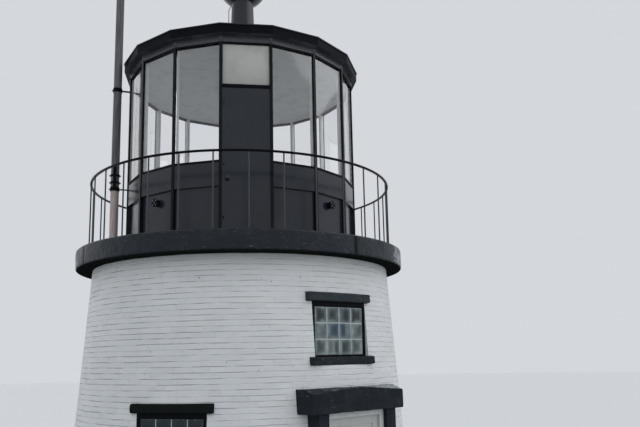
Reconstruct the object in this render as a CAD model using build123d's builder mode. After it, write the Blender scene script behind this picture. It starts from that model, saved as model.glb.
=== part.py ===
from build123d import *
from math import cos, hypot, pi, radians, sin, sqrt, tan
import os

# A short round lighthouse of white painted brick with a sixteen-sided iron lantern.
# Millimetres. The origin is the middle of the tower's base, +Z is up and the ground
# door faces -Y. An azimuth is counted from the door, positive towards +X, so that
# the point at azimuth a and distance d from the axis is (d sin a, -d cos a).

# Tower wall: a battered ring of brickwork, plumb inside.
deck_height = 4350.0
slab_thickness = 270.0
slab_radius = 2420.0
slab_edge_round = 18.0
wall_base_radius = 2490.0
wall_top_radius = 2190.0
wall_inner_radius = 1730.0
floor_thickness = 100.0
seat_gap = 0.3

# Hatchway through the gallery slab, inside the lantern.
hatch_width = 700.0
hatch_depth = 800.0
hatch_distance = 1050.0
hatch_azimuth = 180.0

# Bays of the wall, in degrees of azimuth, on each side of a window's or doorway's middle.
window_bay_half = 17.0
doorway_bay_half = 41.5

# Doorway: stone hood, jambs and threshold. The hood comes forward as far as the wall's foot.
hood_half_width = 782.0
hood_depth = 390.0
hood_bottom = 2143.0
hood_front_height = 234.0
hood_back_height = 282.0
jamb_outer_half = 660.0
jamb_inner_half = 496.0
jamb_setback = 42.0
jamb_depth = 318.0

# Door frame and leaf. Setbacks are counted from the hood's front.
frame_setback = 104.0
frame_depth = 80.0
frame_width = 50.0
stop_width = 15.0
stop_depth = 30.0
leaf_thickness = 45.0
leaf_gap = 5.0
leaf_threshold_gap = 8.0
leaf_stile_width = 110.0
leaf_panel_recess = 12.0
leaf_panel_rows = 3
hinge_knuckle_radius = 8.0
hinge_clearance = 0.5
hinge_inset = 2.5
hinge_leaf_width = 48.0
hinge_leaf_thickness = 5.0
hinge_height = 110.0
hinge_end_margin = 220.0
knob_radius = 28.0
knob_stem_radius = 9.0
knob_reach = 55.0
knob_height = 1050.0
knob_edge_distance = 70.0

# Windows of glass blocks: four across and three high, with stone lintel and sill.
block_pitch = 203.0
blocks_across = 4
blocks_high = 3
block_thickness = 98.0
window_frame_width = 44.0
window_frame_head = 62.0
window_frame_depth = 60.0
window_frame_foot = 16.0
window_recess = 65.0
lintel_length = 1058.0
lintel_height = 114.0
lintel_depth = 200.0
sill_length = 1050.0
sill_height = 103.0
sill_depth = 220.0
stone_proud = 16.0
upper_sill_top = 2809.0
lower_sill_top = 1502.0
stone_edge_round = 10.0
upper_window_azimuth = -1.5
lower_window_azimuth = -56.6

# Gallery railing.
rail_radius = 2253.0
rail_height = 1014.0
rail_bar_width = 38.0
rail_bar_height = 26.0
rail_corner_round = 8.0
baluster_radius = 10.0
baluster_count = 32
baluster_phase = 0.4
baluster_foot_radius = 24.0
baluster_foot_height = 12.0

# Lantern: sixteen posts with iron plates below and glass above.
lantern_sides = 16
lantern_radius = 1719.0
post_width = 40.0
post_depth = 62.0
post_fin_depth = 34.0
glass_bottom = 1047.0
glass_top = 2706.0
band_bottom = 700.0
band_proud = 22.0
panel_thickness = 14.0
panel_recess = 22.0
sill_ring_height = 24.0
sill_ring_proud = 34.0
glass_thickness = 10.0
glazing_head_height = 26.0
glazing_head_depth = 56.0
door_top = 2060.0
door_plate_thickness = 16.0
door_rail_height = 42.0
door_azimuth = -33.75
eave_radius = 1835.0
eave_top = 2917.0
eave_height = 117.0
eave_thickness = 24.0
ceiling_thickness = 10.0

# Roof, ventilator and spindle.
roof_thickness = 18.0
roof_overhang = 12.0
roof_edge_height = 14.0
roof_seam_height = 24.0
roof_seam_width = 18.0
roof_top_radius = 205.0
roof_rise = 720.0
stack_foot_radius = 197.0
stack_top_radius = 176.0
stack_top = 4210.0
stack_wall = 12.0
stack_collar_radius = 214.0
stack_collar_height = 46.0
stack_pipe_radius = 8.0
stack_pipe_azimuth = -120.0
stack_pipe_distance = 226.0
stack_pipe_bend = 4085.0
stack_pipe_top = 4170.0
stack_pipe_bend_radius = 60.0
ball_radius = 412.0
ball_wall = 10.0
spindle_radius = 16.0
spindle_height = 520.0
spindle_tip_radius = 4.0
spindle_collar_radius = 46.0
spindle_collar_height = 40.0

# Round ventilators in the lantern's recessed plates: a stub, and a cover on studs.
vent_radius = 48.0
vent_reach = 30.0
vent_wall = 6.0
vent_cover_radius = 58.0
vent_cover_gap = 26.0
vent_cover_thickness = 8.0
vent_stud_radius = 5.0
vent_stud_count = 4
vent_height = 565.0
vent_azimuths = (11.25, 101.25, 191.25, 281.25)

# Mast beside the lantern, on the gallery.
mast_azimuth = -112.5
mast_distance = 1925.0
mast_radius = 60.0
mast_top_radius = 58.0
mast_height = 5500.0
mast_truck_radius = 72.0
mast_truck_height = 40.0
mast_truck_round = 13.0
bracket_heights = (955.0, 2487.0)
bracket_width = 40.0
bracket_thickness = 12.0
collar_height = 60.0
collar_thickness = 8.0
collar_bolt_radius = 7.0
collar_bolt_reach = 16.0
clamp_strap_azimuth = -28.0
clamp_strap_width = 46.0
clamp_strap_top = 1290.0
clamp_collar_heights = (1052.0, 1160.0)
clamp_collar_height = 34.0

# Values that follow from those above.
wall_height = deck_height - slab_thickness
batter = (wall_base_radius - wall_top_radius) / wall_height
hood_front = wall_base_radius
hood_back = hood_front - hood_depth
jamb_front = hood_front - jamb_setback
jamb_back = jamb_front - jamb_depth
frame_front = hood_front - frame_setback
window_width = blocks_across * block_pitch + 2 * window_frame_width
window_height = blocks_high * block_pitch + window_frame_head + window_frame_foot
side_angle = 360.0 / lantern_sides
side_half = radians(side_angle / 2)
beyond = 400.0

os.makedirs("parts", exist_ok=True)


def wall_radius(height):
    """Outer radius of the battered wall at a height above the ground."""
    return wall_base_radius - batter * height


def facing(azimuth, distance=0.0, height=0.0):
    """Upright plane that looks outwards: local x to the right, local y up."""
    a = radians(azimuth)
    return Plane(
        origin=(distance * sin(a), -distance * cos(a), height),
        x_dir=(cos(a), sin(a), 0),
        z_dir=(sin(a), -cos(a), 0),
    )


def level(azimuth, distance, height):
    """Level plane at an azimuth: local x to the right, local y inwards."""
    a = radians(azimuth)
    return Plane(
        origin=(distance * sin(a), -distance * cos(a), height),
        x_dir=(cos(a), sin(a), 0),
        z_dir=(0, 0, 1),
    )


def section(azimuth):
    """Plane through the axis: local x outwards along the azimuth, local y up."""
    a = radians(azimuth)
    return Plane(origin=(0, 0, 0), x_dir=(sin(a), -cos(a), 0), z_dir=(-cos(a), -sin(a), 0))


def save(piece, name):
    """Label a finished piece and write it as a node of its own."""
    piece.part.label = name
    export_step(piece.part, f"parts/{name}.step")


# Windows: azimuth and height of the sill's top. The back repeats the front.
windows = [
    (upper_window_azimuth, upper_sill_top),
    (lower_window_azimuth, lower_sill_top),
    (upper_window_azimuth + 180, upper_sill_top),
    (lower_window_azimuth + 180, lower_sill_top),
]


def stone_front(height):
    """Distance of a lintel's or sill's front face from the axis."""
    return wall_radius(height) + stone_proud


def cut_window(azimuth, sill_top):
    """Cut the opening and the seats of lintel and sill out of the current wall."""
    lintel_mid = sill_top + window_height + lintel_height / 2
    sill_mid = sill_top - sill_height / 2
    with BuildSketch(facing(azimuth, 0, sill_top)) as opening:
        with Locations((0, window_height / 2)):
            Rectangle(window_width, window_height)
    extrude(opening.sketch, amount=wall_base_radius + beyond, mode=Mode.SUBTRACT)
    with BuildSketch(
        facing(azimuth, stone_front(lintel_mid) - lintel_depth, lintel_mid)
    ) as lintel_seat:
        Rectangle(lintel_length, lintel_height)
    extrude(lintel_seat.sketch, amount=lintel_depth + beyond, mode=Mode.SUBTRACT)
    with BuildSketch(facing(azimuth, stone_front(sill_mid) - sill_depth, sill_mid)) as sill_seat:
        Rectangle(sill_length, sill_height)
    extrude(sill_seat.sketch, amount=sill_depth + beyond, mode=Mode.SUBTRACT)


def wall_ring(start, end):
    """Brick ring between two azimuths, battered outside and plumb inside."""
    with BuildSketch(section(start)) as profile:
        with BuildLine():
            Polyline(
                (wall_inner_radius, 0),
                (wall_base_radius, 0),
                (wall_top_radius, wall_height),
                (wall_inner_radius, wall_height),
                close=True,
            )
        make_face()
    revolve(profile.sketch, axis=Axis.Z, revolution_arc=end - start)


def cut_hood_seat():
    """Cut the seat of the door hood out of the current wall."""
    with BuildSketch(facing(0, hood_back, hood_bottom)) as seat:
        with Locations((0, hood_back_height / 2)):
            Rectangle(2 * hood_half_width, hood_back_height)
    extrude(seat.sketch, amount=hood_front - hood_back + beyond, mode=Mode.SUBTRACT)


def share(names, start, end):
    """Plain bays of equal width between two azimuths."""
    width = (end - start) / len(names)
    return [
        (name, start + place * width, start + (place + 1) * width)
        for place, name in enumerate(names)
    ]


# Tower wall in bays: one for each window, one on each side of the doorway, plain ones between.
left_window_bay = lower_window_azimuth - window_bay_half
left_door_bay = lower_window_azimuth + window_bay_half
right_window_bay = left_window_bay + 180
right_back_bay = left_door_bay + 180
back_bay = upper_window_azimuth + 180 - window_bay_half
back_bay_end = upper_window_azimuth + 180 + window_bay_half
wall_bays = [
    ("wall_left_of_door", left_door_bay, 0.0),
    ("wall_lower_window_bay", left_window_bay, left_door_bay),
    *share(["wall_left_back", "wall_left", "wall_left_front"], back_bay_end - 360, left_window_bay),
    ("wall_back", back_bay, back_bay_end),
    ("wall_back_right", right_back_bay, back_bay),
    ("wall_back_window_bay", right_window_bay, right_back_bay),
    *share(["wall_right_front", "wall_right"], doorway_bay_half, right_window_bay),
    ("wall_right_of_door", 0.0, doorway_bay_half),
]
for bay_name, bay_start, bay_end in wall_bays:
    with BuildPart() as bay:
        wall_ring(bay_start, bay_end)
        for window_azimuth, sill_top in windows:
            if (window_azimuth - bay_start) % 360 < bay_end - bay_start:
                cut_window(window_azimuth, sill_top)
        if 0.0 in (bay_start, bay_end):
            with BuildSketch(facing(0)):
                with Locations((0, wall_height / 2)):
                    Rectangle(2 * jamb_outer_half, wall_height)
            extrude(amount=wall_base_radius + beyond, mode=Mode.SUBTRACT)
            cut_hood_seat()
    save(bay, bay_name)

with BuildPart() as wall_over_door:
    wall_ring(-doorway_bay_half, doorway_bay_half)
    with BuildSketch(facing(0, 0, hood_bottom)):
        with Locations((0, (wall_height - hood_bottom) / 2)):
            Rectangle(2 * jamb_outer_half, wall_height - hood_bottom)
    extrude(amount=wall_base_radius + beyond, mode=Mode.INTERSECT)
    cut_hood_seat()
    cut_window(upper_window_azimuth, upper_sill_top)
save(wall_over_door, "wall_over_door")

# Ground floor and the threshold that carries it through the wall.
with BuildPart() as ground_floor:
    Cylinder(
        wall_inner_radius - seat_gap,
        floor_thickness,
        align=(Align.CENTER, Align.CENTER, Align.MIN),
    )
save(ground_floor, "ground_floor")

with BuildPart() as door_threshold:
    with BuildSketch(facing(0)):
        with Locations((0, floor_thickness / 2)):
            Rectangle(2 * jamb_outer_half, floor_thickness)
    extrude(amount=hood_front)
    Cylinder(
        wall_inner_radius,
        floor_thickness,
        align=(Align.CENTER, Align.CENTER, Align.MIN),
        mode=Mode.SUBTRACT,
    )
save(door_threshold, "door_threshold")

# Stone surround of the doorway.
with BuildPart() as door_jambs:
    with BuildSketch(level(0, jamb_back, floor_thickness)):
        with GridLocations(jamb_outer_half + jamb_inner_half, 0, 2, 1):
            Rectangle(
                jamb_outer_half - jamb_inner_half,
                jamb_front - jamb_back,
                align=(Align.CENTER, Align.MAX),
            )
    extrude(amount=hood_bottom - floor_thickness)
save(door_jambs, "door_jambs")

with BuildPart() as door_hood:
    with BuildSketch(section(0)):
        with BuildLine():
            Polyline(
                (hood_back, hood_bottom),
                (hood_front, hood_bottom),
                (hood_front, hood_bottom + hood_front_height),
                (wall_radius(hood_bottom + hood_back_height), hood_bottom + hood_back_height),
                (hood_back, hood_bottom + hood_back_height),
                close=True,
            )
        make_face()
    extrude(amount=hood_half_width, both=True)
save(door_hood, "door_hood")

# Door frame with a stop in front of the leaf, which opens inwards.
frame_inner_half = jamb_inner_half - frame_width
frame_back = frame_front - frame_depth
frame_head = hood_bottom - frame_width
leaf_front = frame_front - stop_depth - leaf_gap
leaf_back = leaf_front - leaf_thickness
leaf_half = frame_inner_half - leaf_gap
leaf_bottom = floor_thickness + leaf_threshold_gap
leaf_top = frame_head - leaf_gap
with BuildPart() as door_frame:
    with BuildSketch(facing(0, frame_back, floor_thickness)):
        with Locations((0, (hood_bottom - floor_thickness) / 2)):
            Rectangle(2 * jamb_inner_half, hood_bottom - floor_thickness)
        with Locations((0, (frame_head - floor_thickness) / 2)):
            Rectangle(2 * frame_inner_half, frame_head - floor_thickness, mode=Mode.SUBTRACT)
    extrude(amount=frame_depth)
    with BuildSketch(facing(0, frame_front - stop_depth, floor_thickness)):
        with Locations((0, (frame_head - floor_thickness) / 2)):
            Rectangle(2 * frame_inner_half, frame_head - floor_thickness)
        with Locations((0, (frame_head - stop_width - floor_thickness) / 2)):
            Rectangle(
                2 * (frame_inner_half - stop_width),
                frame_head - stop_width - floor_thickness,
                mode=Mode.SUBTRACT,
            )
    extrude(amount=stop_depth)
save(door_frame, "door_frame")

panel_width = 2 * leaf_half - 2 * leaf_stile_width
panel_height = (leaf_top - leaf_bottom - (leaf_panel_rows + 1) * leaf_stile_width) / leaf_panel_rows
with BuildPart() as door_leaf:
    with BuildSketch(facing(0, leaf_back, leaf_bottom)):
        with Locations((0, (leaf_top - leaf_bottom) / 2)):
            Rectangle(2 * leaf_half, leaf_top - leaf_bottom)
    extrude(amount=leaf_thickness)
    with BuildSketch(
        facing(0, leaf_front, (leaf_top + leaf_bottom) / 2),
        facing(0, leaf_back + leaf_panel_recess, (leaf_top + leaf_bottom) / 2),
    ):
        with GridLocations(0, panel_height + leaf_stile_width, 1, leaf_panel_rows):
            Rectangle(panel_width, panel_height)
    extrude(amount=-leaf_panel_recess, mode=Mode.SUBTRACT)
save(door_leaf, "door_leaf")

# Hinge knuckles and plates, at the right edge of the leaf's inner face.
hinge_x = frame_inner_half - hinge_inset
hinge_distance = frame_back - hinge_knuckle_radius - hinge_clearance
hinge_levels = (
    leaf_bottom + hinge_end_margin,
    (leaf_bottom + leaf_top) / 2,
    leaf_top - hinge_end_margin,
)
with BuildPart() as door_hinges:
    for hinge_level in hinge_levels:
        with BuildSketch(level(0, hinge_distance, hinge_level - hinge_height / 2)):
            with Locations((hinge_x, 0)):
                Circle(hinge_knuckle_radius)
            with Locations((hinge_x, hinge_distance - leaf_back)):
                Rectangle(hinge_leaf_width, hinge_leaf_thickness, align=(Align.MAX, Align.MIN))
        extrude(amount=hinge_height)
save(door_hinges, "door_hinges")

knob_x = -(leaf_half - knob_edge_distance)
with BuildPart() as door_knobs:
    for knob_face, outward in ((leaf_front, 1), (leaf_back, -1)):
        with BuildSketch(facing(0, knob_face, knob_height)):
            with Locations((knob_x, 0)):
                Circle(knob_stem_radius)
        extrude(amount=outward * knob_reach / 2)
        with BuildSketch(facing(0, knob_face + outward * knob_reach / 2, knob_height)):
            with Locations((knob_x, 0)):
                Circle(knob_radius)
        extrude(amount=outward * knob_reach / 2)
save(door_knobs, "door_knobs")

def in_front(edge):
    """True for an edge that lies wholly outside the wall."""
    middle = edge.center()
    return hypot(middle.X, middle.Y) > wall_radius(middle.Z)


# Windows: each has a lintel, a sill, an iron frame and a panel of glass blocks.
with BuildPart() as window_lintels:
    for window_azimuth, sill_top in windows:
        lintel_mid = sill_top + window_height + lintel_height / 2
        with BuildSketch(facing(window_azimuth, stone_front(lintel_mid) - lintel_depth, lintel_mid)):
            Rectangle(lintel_length, lintel_height)
        extrude(amount=lintel_depth)
    fillet(window_lintels.edges().filter_by(in_front), radius=stone_edge_round)
save(window_lintels, "window_lintels")

with BuildPart() as window_sills:
    for window_azimuth, sill_top in windows:
        sill_mid = sill_top - sill_height / 2
        with BuildSketch(facing(window_azimuth, stone_front(sill_mid) - sill_depth, sill_mid)):
            Rectangle(sill_length, sill_height)
        extrude(amount=sill_depth)
    fillet(window_sills.edges().filter_by(in_front), radius=stone_edge_round)
save(window_sills, "window_sills")

with BuildPart() as window_frames:
    for window_azimuth, sill_top in windows:
        glass_front = wall_radius(sill_top + window_height / 2) - window_recess
        with BuildSketch(facing(window_azimuth, glass_front - window_frame_depth, sill_top)):
            with Locations((0, window_height / 2)):
                Rectangle(window_width, window_height)
            with Locations((0, window_frame_foot)):
                Rectangle(
                    blocks_across * block_pitch,
                    blocks_high * block_pitch,
                    align=(Align.CENTER, Align.MIN),
                    mode=Mode.SUBTRACT,
                )
        extrude(amount=window_frame_depth)
save(window_frames, "window_frames")

with BuildPart() as window_glass_blocks:
    for window_azimuth, sill_top in windows:
        glass_front = wall_radius(sill_top + window_height / 2) - window_recess
        with BuildSketch(
            facing(window_azimuth, glass_front - block_thickness, sill_top + window_frame_foot)
        ):
            Rectangle(
                blocks_across * block_pitch - 2 * seat_gap,
                blocks_high * block_pitch - seat_gap,
                align=(Align.CENTER, Align.MIN),
            )
        extrude(amount=block_thickness - seat_gap)
save(window_glass_blocks, "window_glass_blocks")

# Gallery slab: a round stone with a rounded edge, pierced by the hatchway.
with BuildPart() as gallery_slab:
    with BuildSketch(Plane.XY.offset(wall_height)):
        Circle(slab_radius)
    extrude(amount=slab_thickness)
    fillet(gallery_slab.edges(), radius=slab_edge_round)
    with BuildSketch(level(hatch_azimuth, hatch_distance, wall_height)):
        Rectangle(hatch_width, hatch_depth)
    extrude(amount=slab_thickness, mode=Mode.SUBTRACT)
save(gallery_slab, "gallery_slab")

# Railing: an iron hoop on upright bars, each with a round foot.
with BuildPart() as gallery_handrail:
    with BuildSketch(section(0)):
        with Locations((rail_radius, deck_height + rail_height)):
            RectangleRounded(rail_bar_width, rail_bar_height, rail_corner_round)
    revolve(axis=Axis.Z)
save(gallery_handrail, "gallery_handrail")

with BuildPart() as gallery_balusters:
    with BuildSketch(Plane.XY.offset(deck_height)):
        with PolarLocations(rail_radius, baluster_count, start_angle=baluster_phase):
            Circle(baluster_foot_radius)
    extrude(amount=baluster_foot_height)
    with BuildSketch(Plane.XY.offset(deck_height + baluster_foot_height)):
        with PolarLocations(rail_radius, baluster_count, start_angle=baluster_phase):
            Circle(baluster_radius)
    extrude(amount=rail_height - baluster_foot_height - rail_bar_height / 2)
save(gallery_balusters, "gallery_balusters")

# Lantern. Corners lie at whole multiples of the side angle from the door.
post_azimuths = [number * side_angle for number in range(lantern_sides)]
side_distance = lantern_radius * cos(side_half)
side_length = 2 * lantern_radius * sin(side_half)


def lantern_ring(outer, inner, bottom, height):
    """Sixteen-sided ring between two distances of its flats from the axis."""
    with BuildSketch(Plane.XY.offset(deck_height + bottom)) as ring:
        RegularPolygon(outer, lantern_sides, major_radius=False, rotation=-90)
        RegularPolygon(
            inner, lantern_sides, major_radius=False, rotation=-90, mode=Mode.SUBTRACT
        )
    extrude(ring.sketch, amount=height)


def cut_posts():
    """Cut the current piece where the sixteen posts stand, with a seat gap."""
    for azimuth in post_azimuths:
        with BuildSketch(level(azimuth, lantern_radius, deck_height)) as post_seat:
            Rectangle(post_width + 2 * seat_gap, 4 * post_depth)
        extrude(post_seat.sketch, amount=eave_top, mode=Mode.SUBTRACT)


def trim_door_bay(mode):
    """Cut the gallery door's bay out of the current piece, or keep that bay alone."""
    with BuildSketch(level(door_azimuth, side_distance, deck_height)) as door_bay:
        Rectangle(side_length, side_length)
    extrude(door_bay.sketch, amount=eave_top, mode=mode)


# Each post reaches in past the glass as a fin.
with BuildPart() as lantern_posts:
    for azimuth in post_azimuths:
        with BuildSketch(level(azimuth, lantern_radius, deck_height)):
            with Locations((0, post_fin_depth / 2)):
                Rectangle(post_width, post_depth + post_fin_depth)
        extrude(amount=glass_top)
save(lantern_posts, "lantern_posts")

# Plates between the posts: name, middle distance, thickness, bottom and top. The band is as
# thick as it needs to be to close the top of the recessed panels.
band_thickness = band_proud + panel_recess + panel_thickness / 2
plate_rings = [
    ("lantern_lower_panels", side_distance - panel_recess, panel_thickness, 0.0, band_bottom),
    (
        "lantern_band",
        side_distance + band_proud - band_thickness / 2,
        band_thickness,
        band_bottom,
        glass_bottom - sill_ring_height,
    ),
    (
        "lantern_sill",
        side_distance,
        2 * sill_ring_proud,
        glass_bottom - sill_ring_height,
        glass_bottom,
    ),
]
for plate_name, middle, thickness, bottom, top in plate_rings:
    with BuildPart() as plate_ring:
        lantern_ring(middle + thickness / 2, middle - thickness / 2, bottom, top - bottom)
        cut_posts()
        trim_door_bay(Mode.SUBTRACT)
    save(plate_ring, plate_name)

pane_bottom = door_top + door_rail_height
glazing_head = glass_top - glazing_head_height
with BuildPart() as lantern_glass:
    lantern_ring(
        side_distance + glass_thickness / 2,
        side_distance - glass_thickness / 2,
        glass_bottom,
        glazing_head - glass_bottom,
    )
    cut_posts()
    with BuildSketch(level(door_azimuth, side_distance, deck_height + glass_bottom)):
        Rectangle(side_length, side_length)
    extrude(amount=pane_bottom - glass_bottom, mode=Mode.SUBTRACT)
save(lantern_glass, "lantern_glass")

with BuildPart() as gallery_door_transom:
    lantern_ring(
        side_distance + post_depth / 2, side_distance - post_depth / 2, door_top, door_rail_height
    )
    cut_posts()
    trim_door_bay(Mode.INTERSECT)

with BuildPart() as lantern_glazing_bars:
    lantern_ring(
        side_distance + glazing_head_depth / 2,
        side_distance - glazing_head_depth / 2,
        glazing_head,
        glazing_head_height,
    )
    cut_posts()
    add(gallery_door_transom.part)
save(lantern_glazing_bars, "lantern_glazing_bars")

# Gallery door: an iron plate that fills one side, under its transom bar.
with BuildPart() as lantern_door:
    lantern_ring(side_distance + door_plate_thickness, side_distance, 0, door_top)
    cut_posts()
    trim_door_bay(Mode.INTERSECT)
save(lantern_door, "lantern_door")

# Head ring on the posts, ceiling inside it and the eave's fascia outside.
eave_flat = eave_radius * cos(side_half)
eave_bottom = eave_top - eave_height
head_inner = side_distance - post_depth / 2
with BuildPart() as lantern_head:
    lantern_ring(side_distance + post_depth / 2, head_inner, glass_top, eave_bottom - glass_top)
save(lantern_head, "lantern_head")

with BuildPart() as lantern_ceiling:
    with BuildSketch(Plane.XY.offset(deck_height + glass_top)):
        RegularPolygon(head_inner - seat_gap, lantern_sides, major_radius=False, rotation=-90)
    extrude(amount=ceiling_thickness)
save(lantern_ceiling, "lantern_ceiling")

with BuildPart() as lantern_eave:
    lantern_ring(eave_flat, head_inner, eave_bottom, eave_thickness)
    lantern_ring(eave_flat, eave_flat - eave_thickness, eave_bottom, eave_height)
save(lantern_eave, "lantern_eave")

# Roof: a sixteen-sided hollow pyramid with a drip edge, a standing seam on each hip and a
# collar round the ventilator's stack.
roof_flat = eave_flat + roof_overhang
roof_foot = deck_height + eave_top
roof_head = eave_top + roof_edge_height + roof_rise
roof_slope_gap = roof_thickness * hypot(1, roof_rise / (roof_flat - roof_top_radius))


def roof_solid(height, mode):
    """Loft the roof's pyramid from a height, added to or cut from the current piece."""
    with BuildSketch(Plane.XY.offset(height)) as foot:
        RegularPolygon(roof_flat, lantern_sides, major_radius=False, rotation=-90)
    with BuildSketch(Plane.XY.offset(height + roof_rise)) as head:
        RegularPolygon(roof_top_radius, lantern_sides, major_radius=False, rotation=-90)
    loft([foot.sketch, head.sketch], ruled=True, mode=mode)


with BuildPart() as lantern_roof:
    with BuildSketch(Plane.XY.offset(roof_foot)):
        RegularPolygon(roof_flat, lantern_sides, major_radius=False, rotation=-90)
    extrude(amount=roof_edge_height)
    roof_solid(roof_foot + roof_edge_height, Mode.ADD)
    hip_foot = roof_flat / cos(side_half)
    hip_head = roof_top_radius / cos(side_half)
    for azimuth in post_azimuths:
        with BuildSketch(section(azimuth)):
            with BuildLine():
                Polyline(
                    (hip_foot - roof_seam_height, roof_foot + roof_edge_height),
                    (hip_foot, roof_foot + roof_edge_height),
                    (hip_head, roof_foot + roof_edge_height + roof_rise + roof_seam_height),
                    (hip_head - roof_seam_height, roof_foot + roof_edge_height + roof_rise),
                    close=True,
                )
            make_face()
        extrude(amount=roof_seam_width / 2, both=True)
    roof_solid(roof_foot + roof_edge_height - roof_slope_gap, Mode.SUBTRACT)
    with BuildSketch(Plane.XY.offset(deck_height + roof_head)):
        Circle(stack_collar_radius)
    extrude(amount=stack_collar_height)
    with BuildSketch(Plane.XY.offset(roof_foot)):
        Circle(stack_foot_radius + seat_gap)
    extrude(amount=roof_rise + beyond, mode=Mode.SUBTRACT)
save(lantern_roof, "lantern_roof")

# Ventilator: tapered stack, hollow ball and spindle.
stack_foot = roof_head - roof_slope_gap * 2
ball_middle = stack_top + sqrt(ball_radius**2 - stack_top_radius**2)


def stack_radius(height):
    """Outer radius of the tapered stack at a height above the deck."""
    taper = (stack_foot_radius - stack_top_radius) / (stack_top - stack_foot)
    return stack_foot_radius - taper * (height - stack_foot)


with BuildPart() as vent_stack:
    with BuildSketch(section(0)):
        with BuildLine():
            Polyline(
                (stack_foot_radius, deck_height + stack_foot),
                (stack_top_radius, deck_height + stack_top),
                (stack_top_radius - stack_wall, deck_height + stack_top),
                (stack_foot_radius - stack_wall, deck_height + stack_foot),
                close=True,
            )
        make_face()
    revolve(axis=Axis.Z)
save(vent_stack, "vent_stack")

# A thin pipe that rises from the roof and bends in to the stack.
pipe_end = stack_radius(stack_pipe_top) + stack_pipe_radius + seat_gap
pipe_inner = stack_pipe_distance - stack_pipe_radius
pipe_foot = roof_head - roof_rise * (pipe_inner - roof_top_radius) / (roof_flat - roof_top_radius)
with BuildPart() as stack_pipe:
    with BuildLine(section(stack_pipe_azimuth)):
        FilletPolyline(
            (stack_pipe_distance, deck_height + pipe_foot + seat_gap),
            (stack_pipe_distance, deck_height + stack_pipe_bend),
            (pipe_end, deck_height + stack_pipe_top),
            radius=stack_pipe_bend_radius,
        )
    with BuildSketch(level(stack_pipe_azimuth, stack_pipe_distance, deck_height + pipe_foot + seat_gap)):
        Circle(stack_pipe_radius)
    sweep()
save(stack_pipe, "stack_pipe")

with BuildPart() as vent_ball:
    with BuildSketch(section(0)):
        with Locations((0, deck_height + ball_middle)):
            Circle(ball_radius)
            Circle(ball_radius - ball_wall, mode=Mode.SUBTRACT)
        with Locations((0, deck_height + stack_top)):
            Rectangle(2 * stack_top_radius, 2 * (ball_middle - stack_top) - ball_radius, mode=Mode.SUBTRACT)
        with Locations((-ball_radius, deck_height + ball_middle)):
            Rectangle(2 * ball_radius, 4 * ball_radius, mode=Mode.SUBTRACT)
    revolve(axis=Axis.Z)
save(vent_ball, "vent_ball")

ball_top = ball_middle + ball_radius
with BuildPart() as spindle:
    with BuildSketch(section(0)):
        with BuildLine():
            Polyline(
                (0, deck_height + ball_top),
                (spindle_collar_radius, deck_height + ball_top),
                (spindle_collar_radius, deck_height + ball_top + spindle_collar_height),
                (spindle_radius, deck_height + ball_top + spindle_collar_height),
                (spindle_tip_radius, deck_height + ball_top + spindle_height),
                (0, deck_height + ball_top + spindle_height),
                close=True,
            )
        make_face()
    revolve(axis=Axis.Z)
save(spindle, "spindle")

# Round ventilators on the lantern's iron plates: a stub, and a cover held off on studs.
vent_seat = side_distance - panel_recess + panel_thickness / 2
cover_distance = vent_seat + vent_reach + vent_cover_gap
with BuildPart() as lantern_vents:
    for azimuth in vent_azimuths:
        with BuildSketch(facing(azimuth, vent_seat, deck_height + vent_height)):
            Circle(vent_radius)
            Circle(vent_radius - vent_wall, mode=Mode.SUBTRACT)
        extrude(amount=vent_reach)
        with BuildSketch(facing(azimuth, vent_seat + vent_reach, deck_height + vent_height)):
            with PolarLocations(vent_radius - vent_wall / 2, vent_stud_count, start_angle=45):
                Circle(vent_stud_radius)
        extrude(amount=vent_cover_gap)
        with BuildSketch(facing(azimuth, cover_distance, deck_height + vent_height)):
            Circle(vent_cover_radius)
        extrude(amount=vent_cover_thickness)
save(lantern_vents, "lantern_vents")


def mast_plane(azimuth, height):
    """Level plane on the mast's axis: local x to the right of an azimuth, local y inwards."""
    a = radians(azimuth)
    return Plane(
        origin=level(mast_azimuth, mast_distance, deck_height + height).origin,
        x_dir=(cos(a), sin(a), 0),
        z_dir=(0, 0, 1),
    )


# Mast on the gallery, held to a lantern post by two brackets, the lower one with a long strap.
with BuildPart() as mast:
    with BuildSketch(mast_plane(mast_azimuth, 0)):
        Circle(mast_radius)
    with BuildSketch(mast_plane(mast_azimuth, mast_height)):
        Circle(mast_top_radius)
    loft()
    with BuildSketch(mast_plane(mast_azimuth, mast_height)):
        Circle(mast_truck_radius)
    extrude(amount=mast_truck_height)
    fillet(mast.faces().sort_by(Axis.Z)[-1].edges(), radius=mast_truck_round)
save(mast, "mast")

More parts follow.
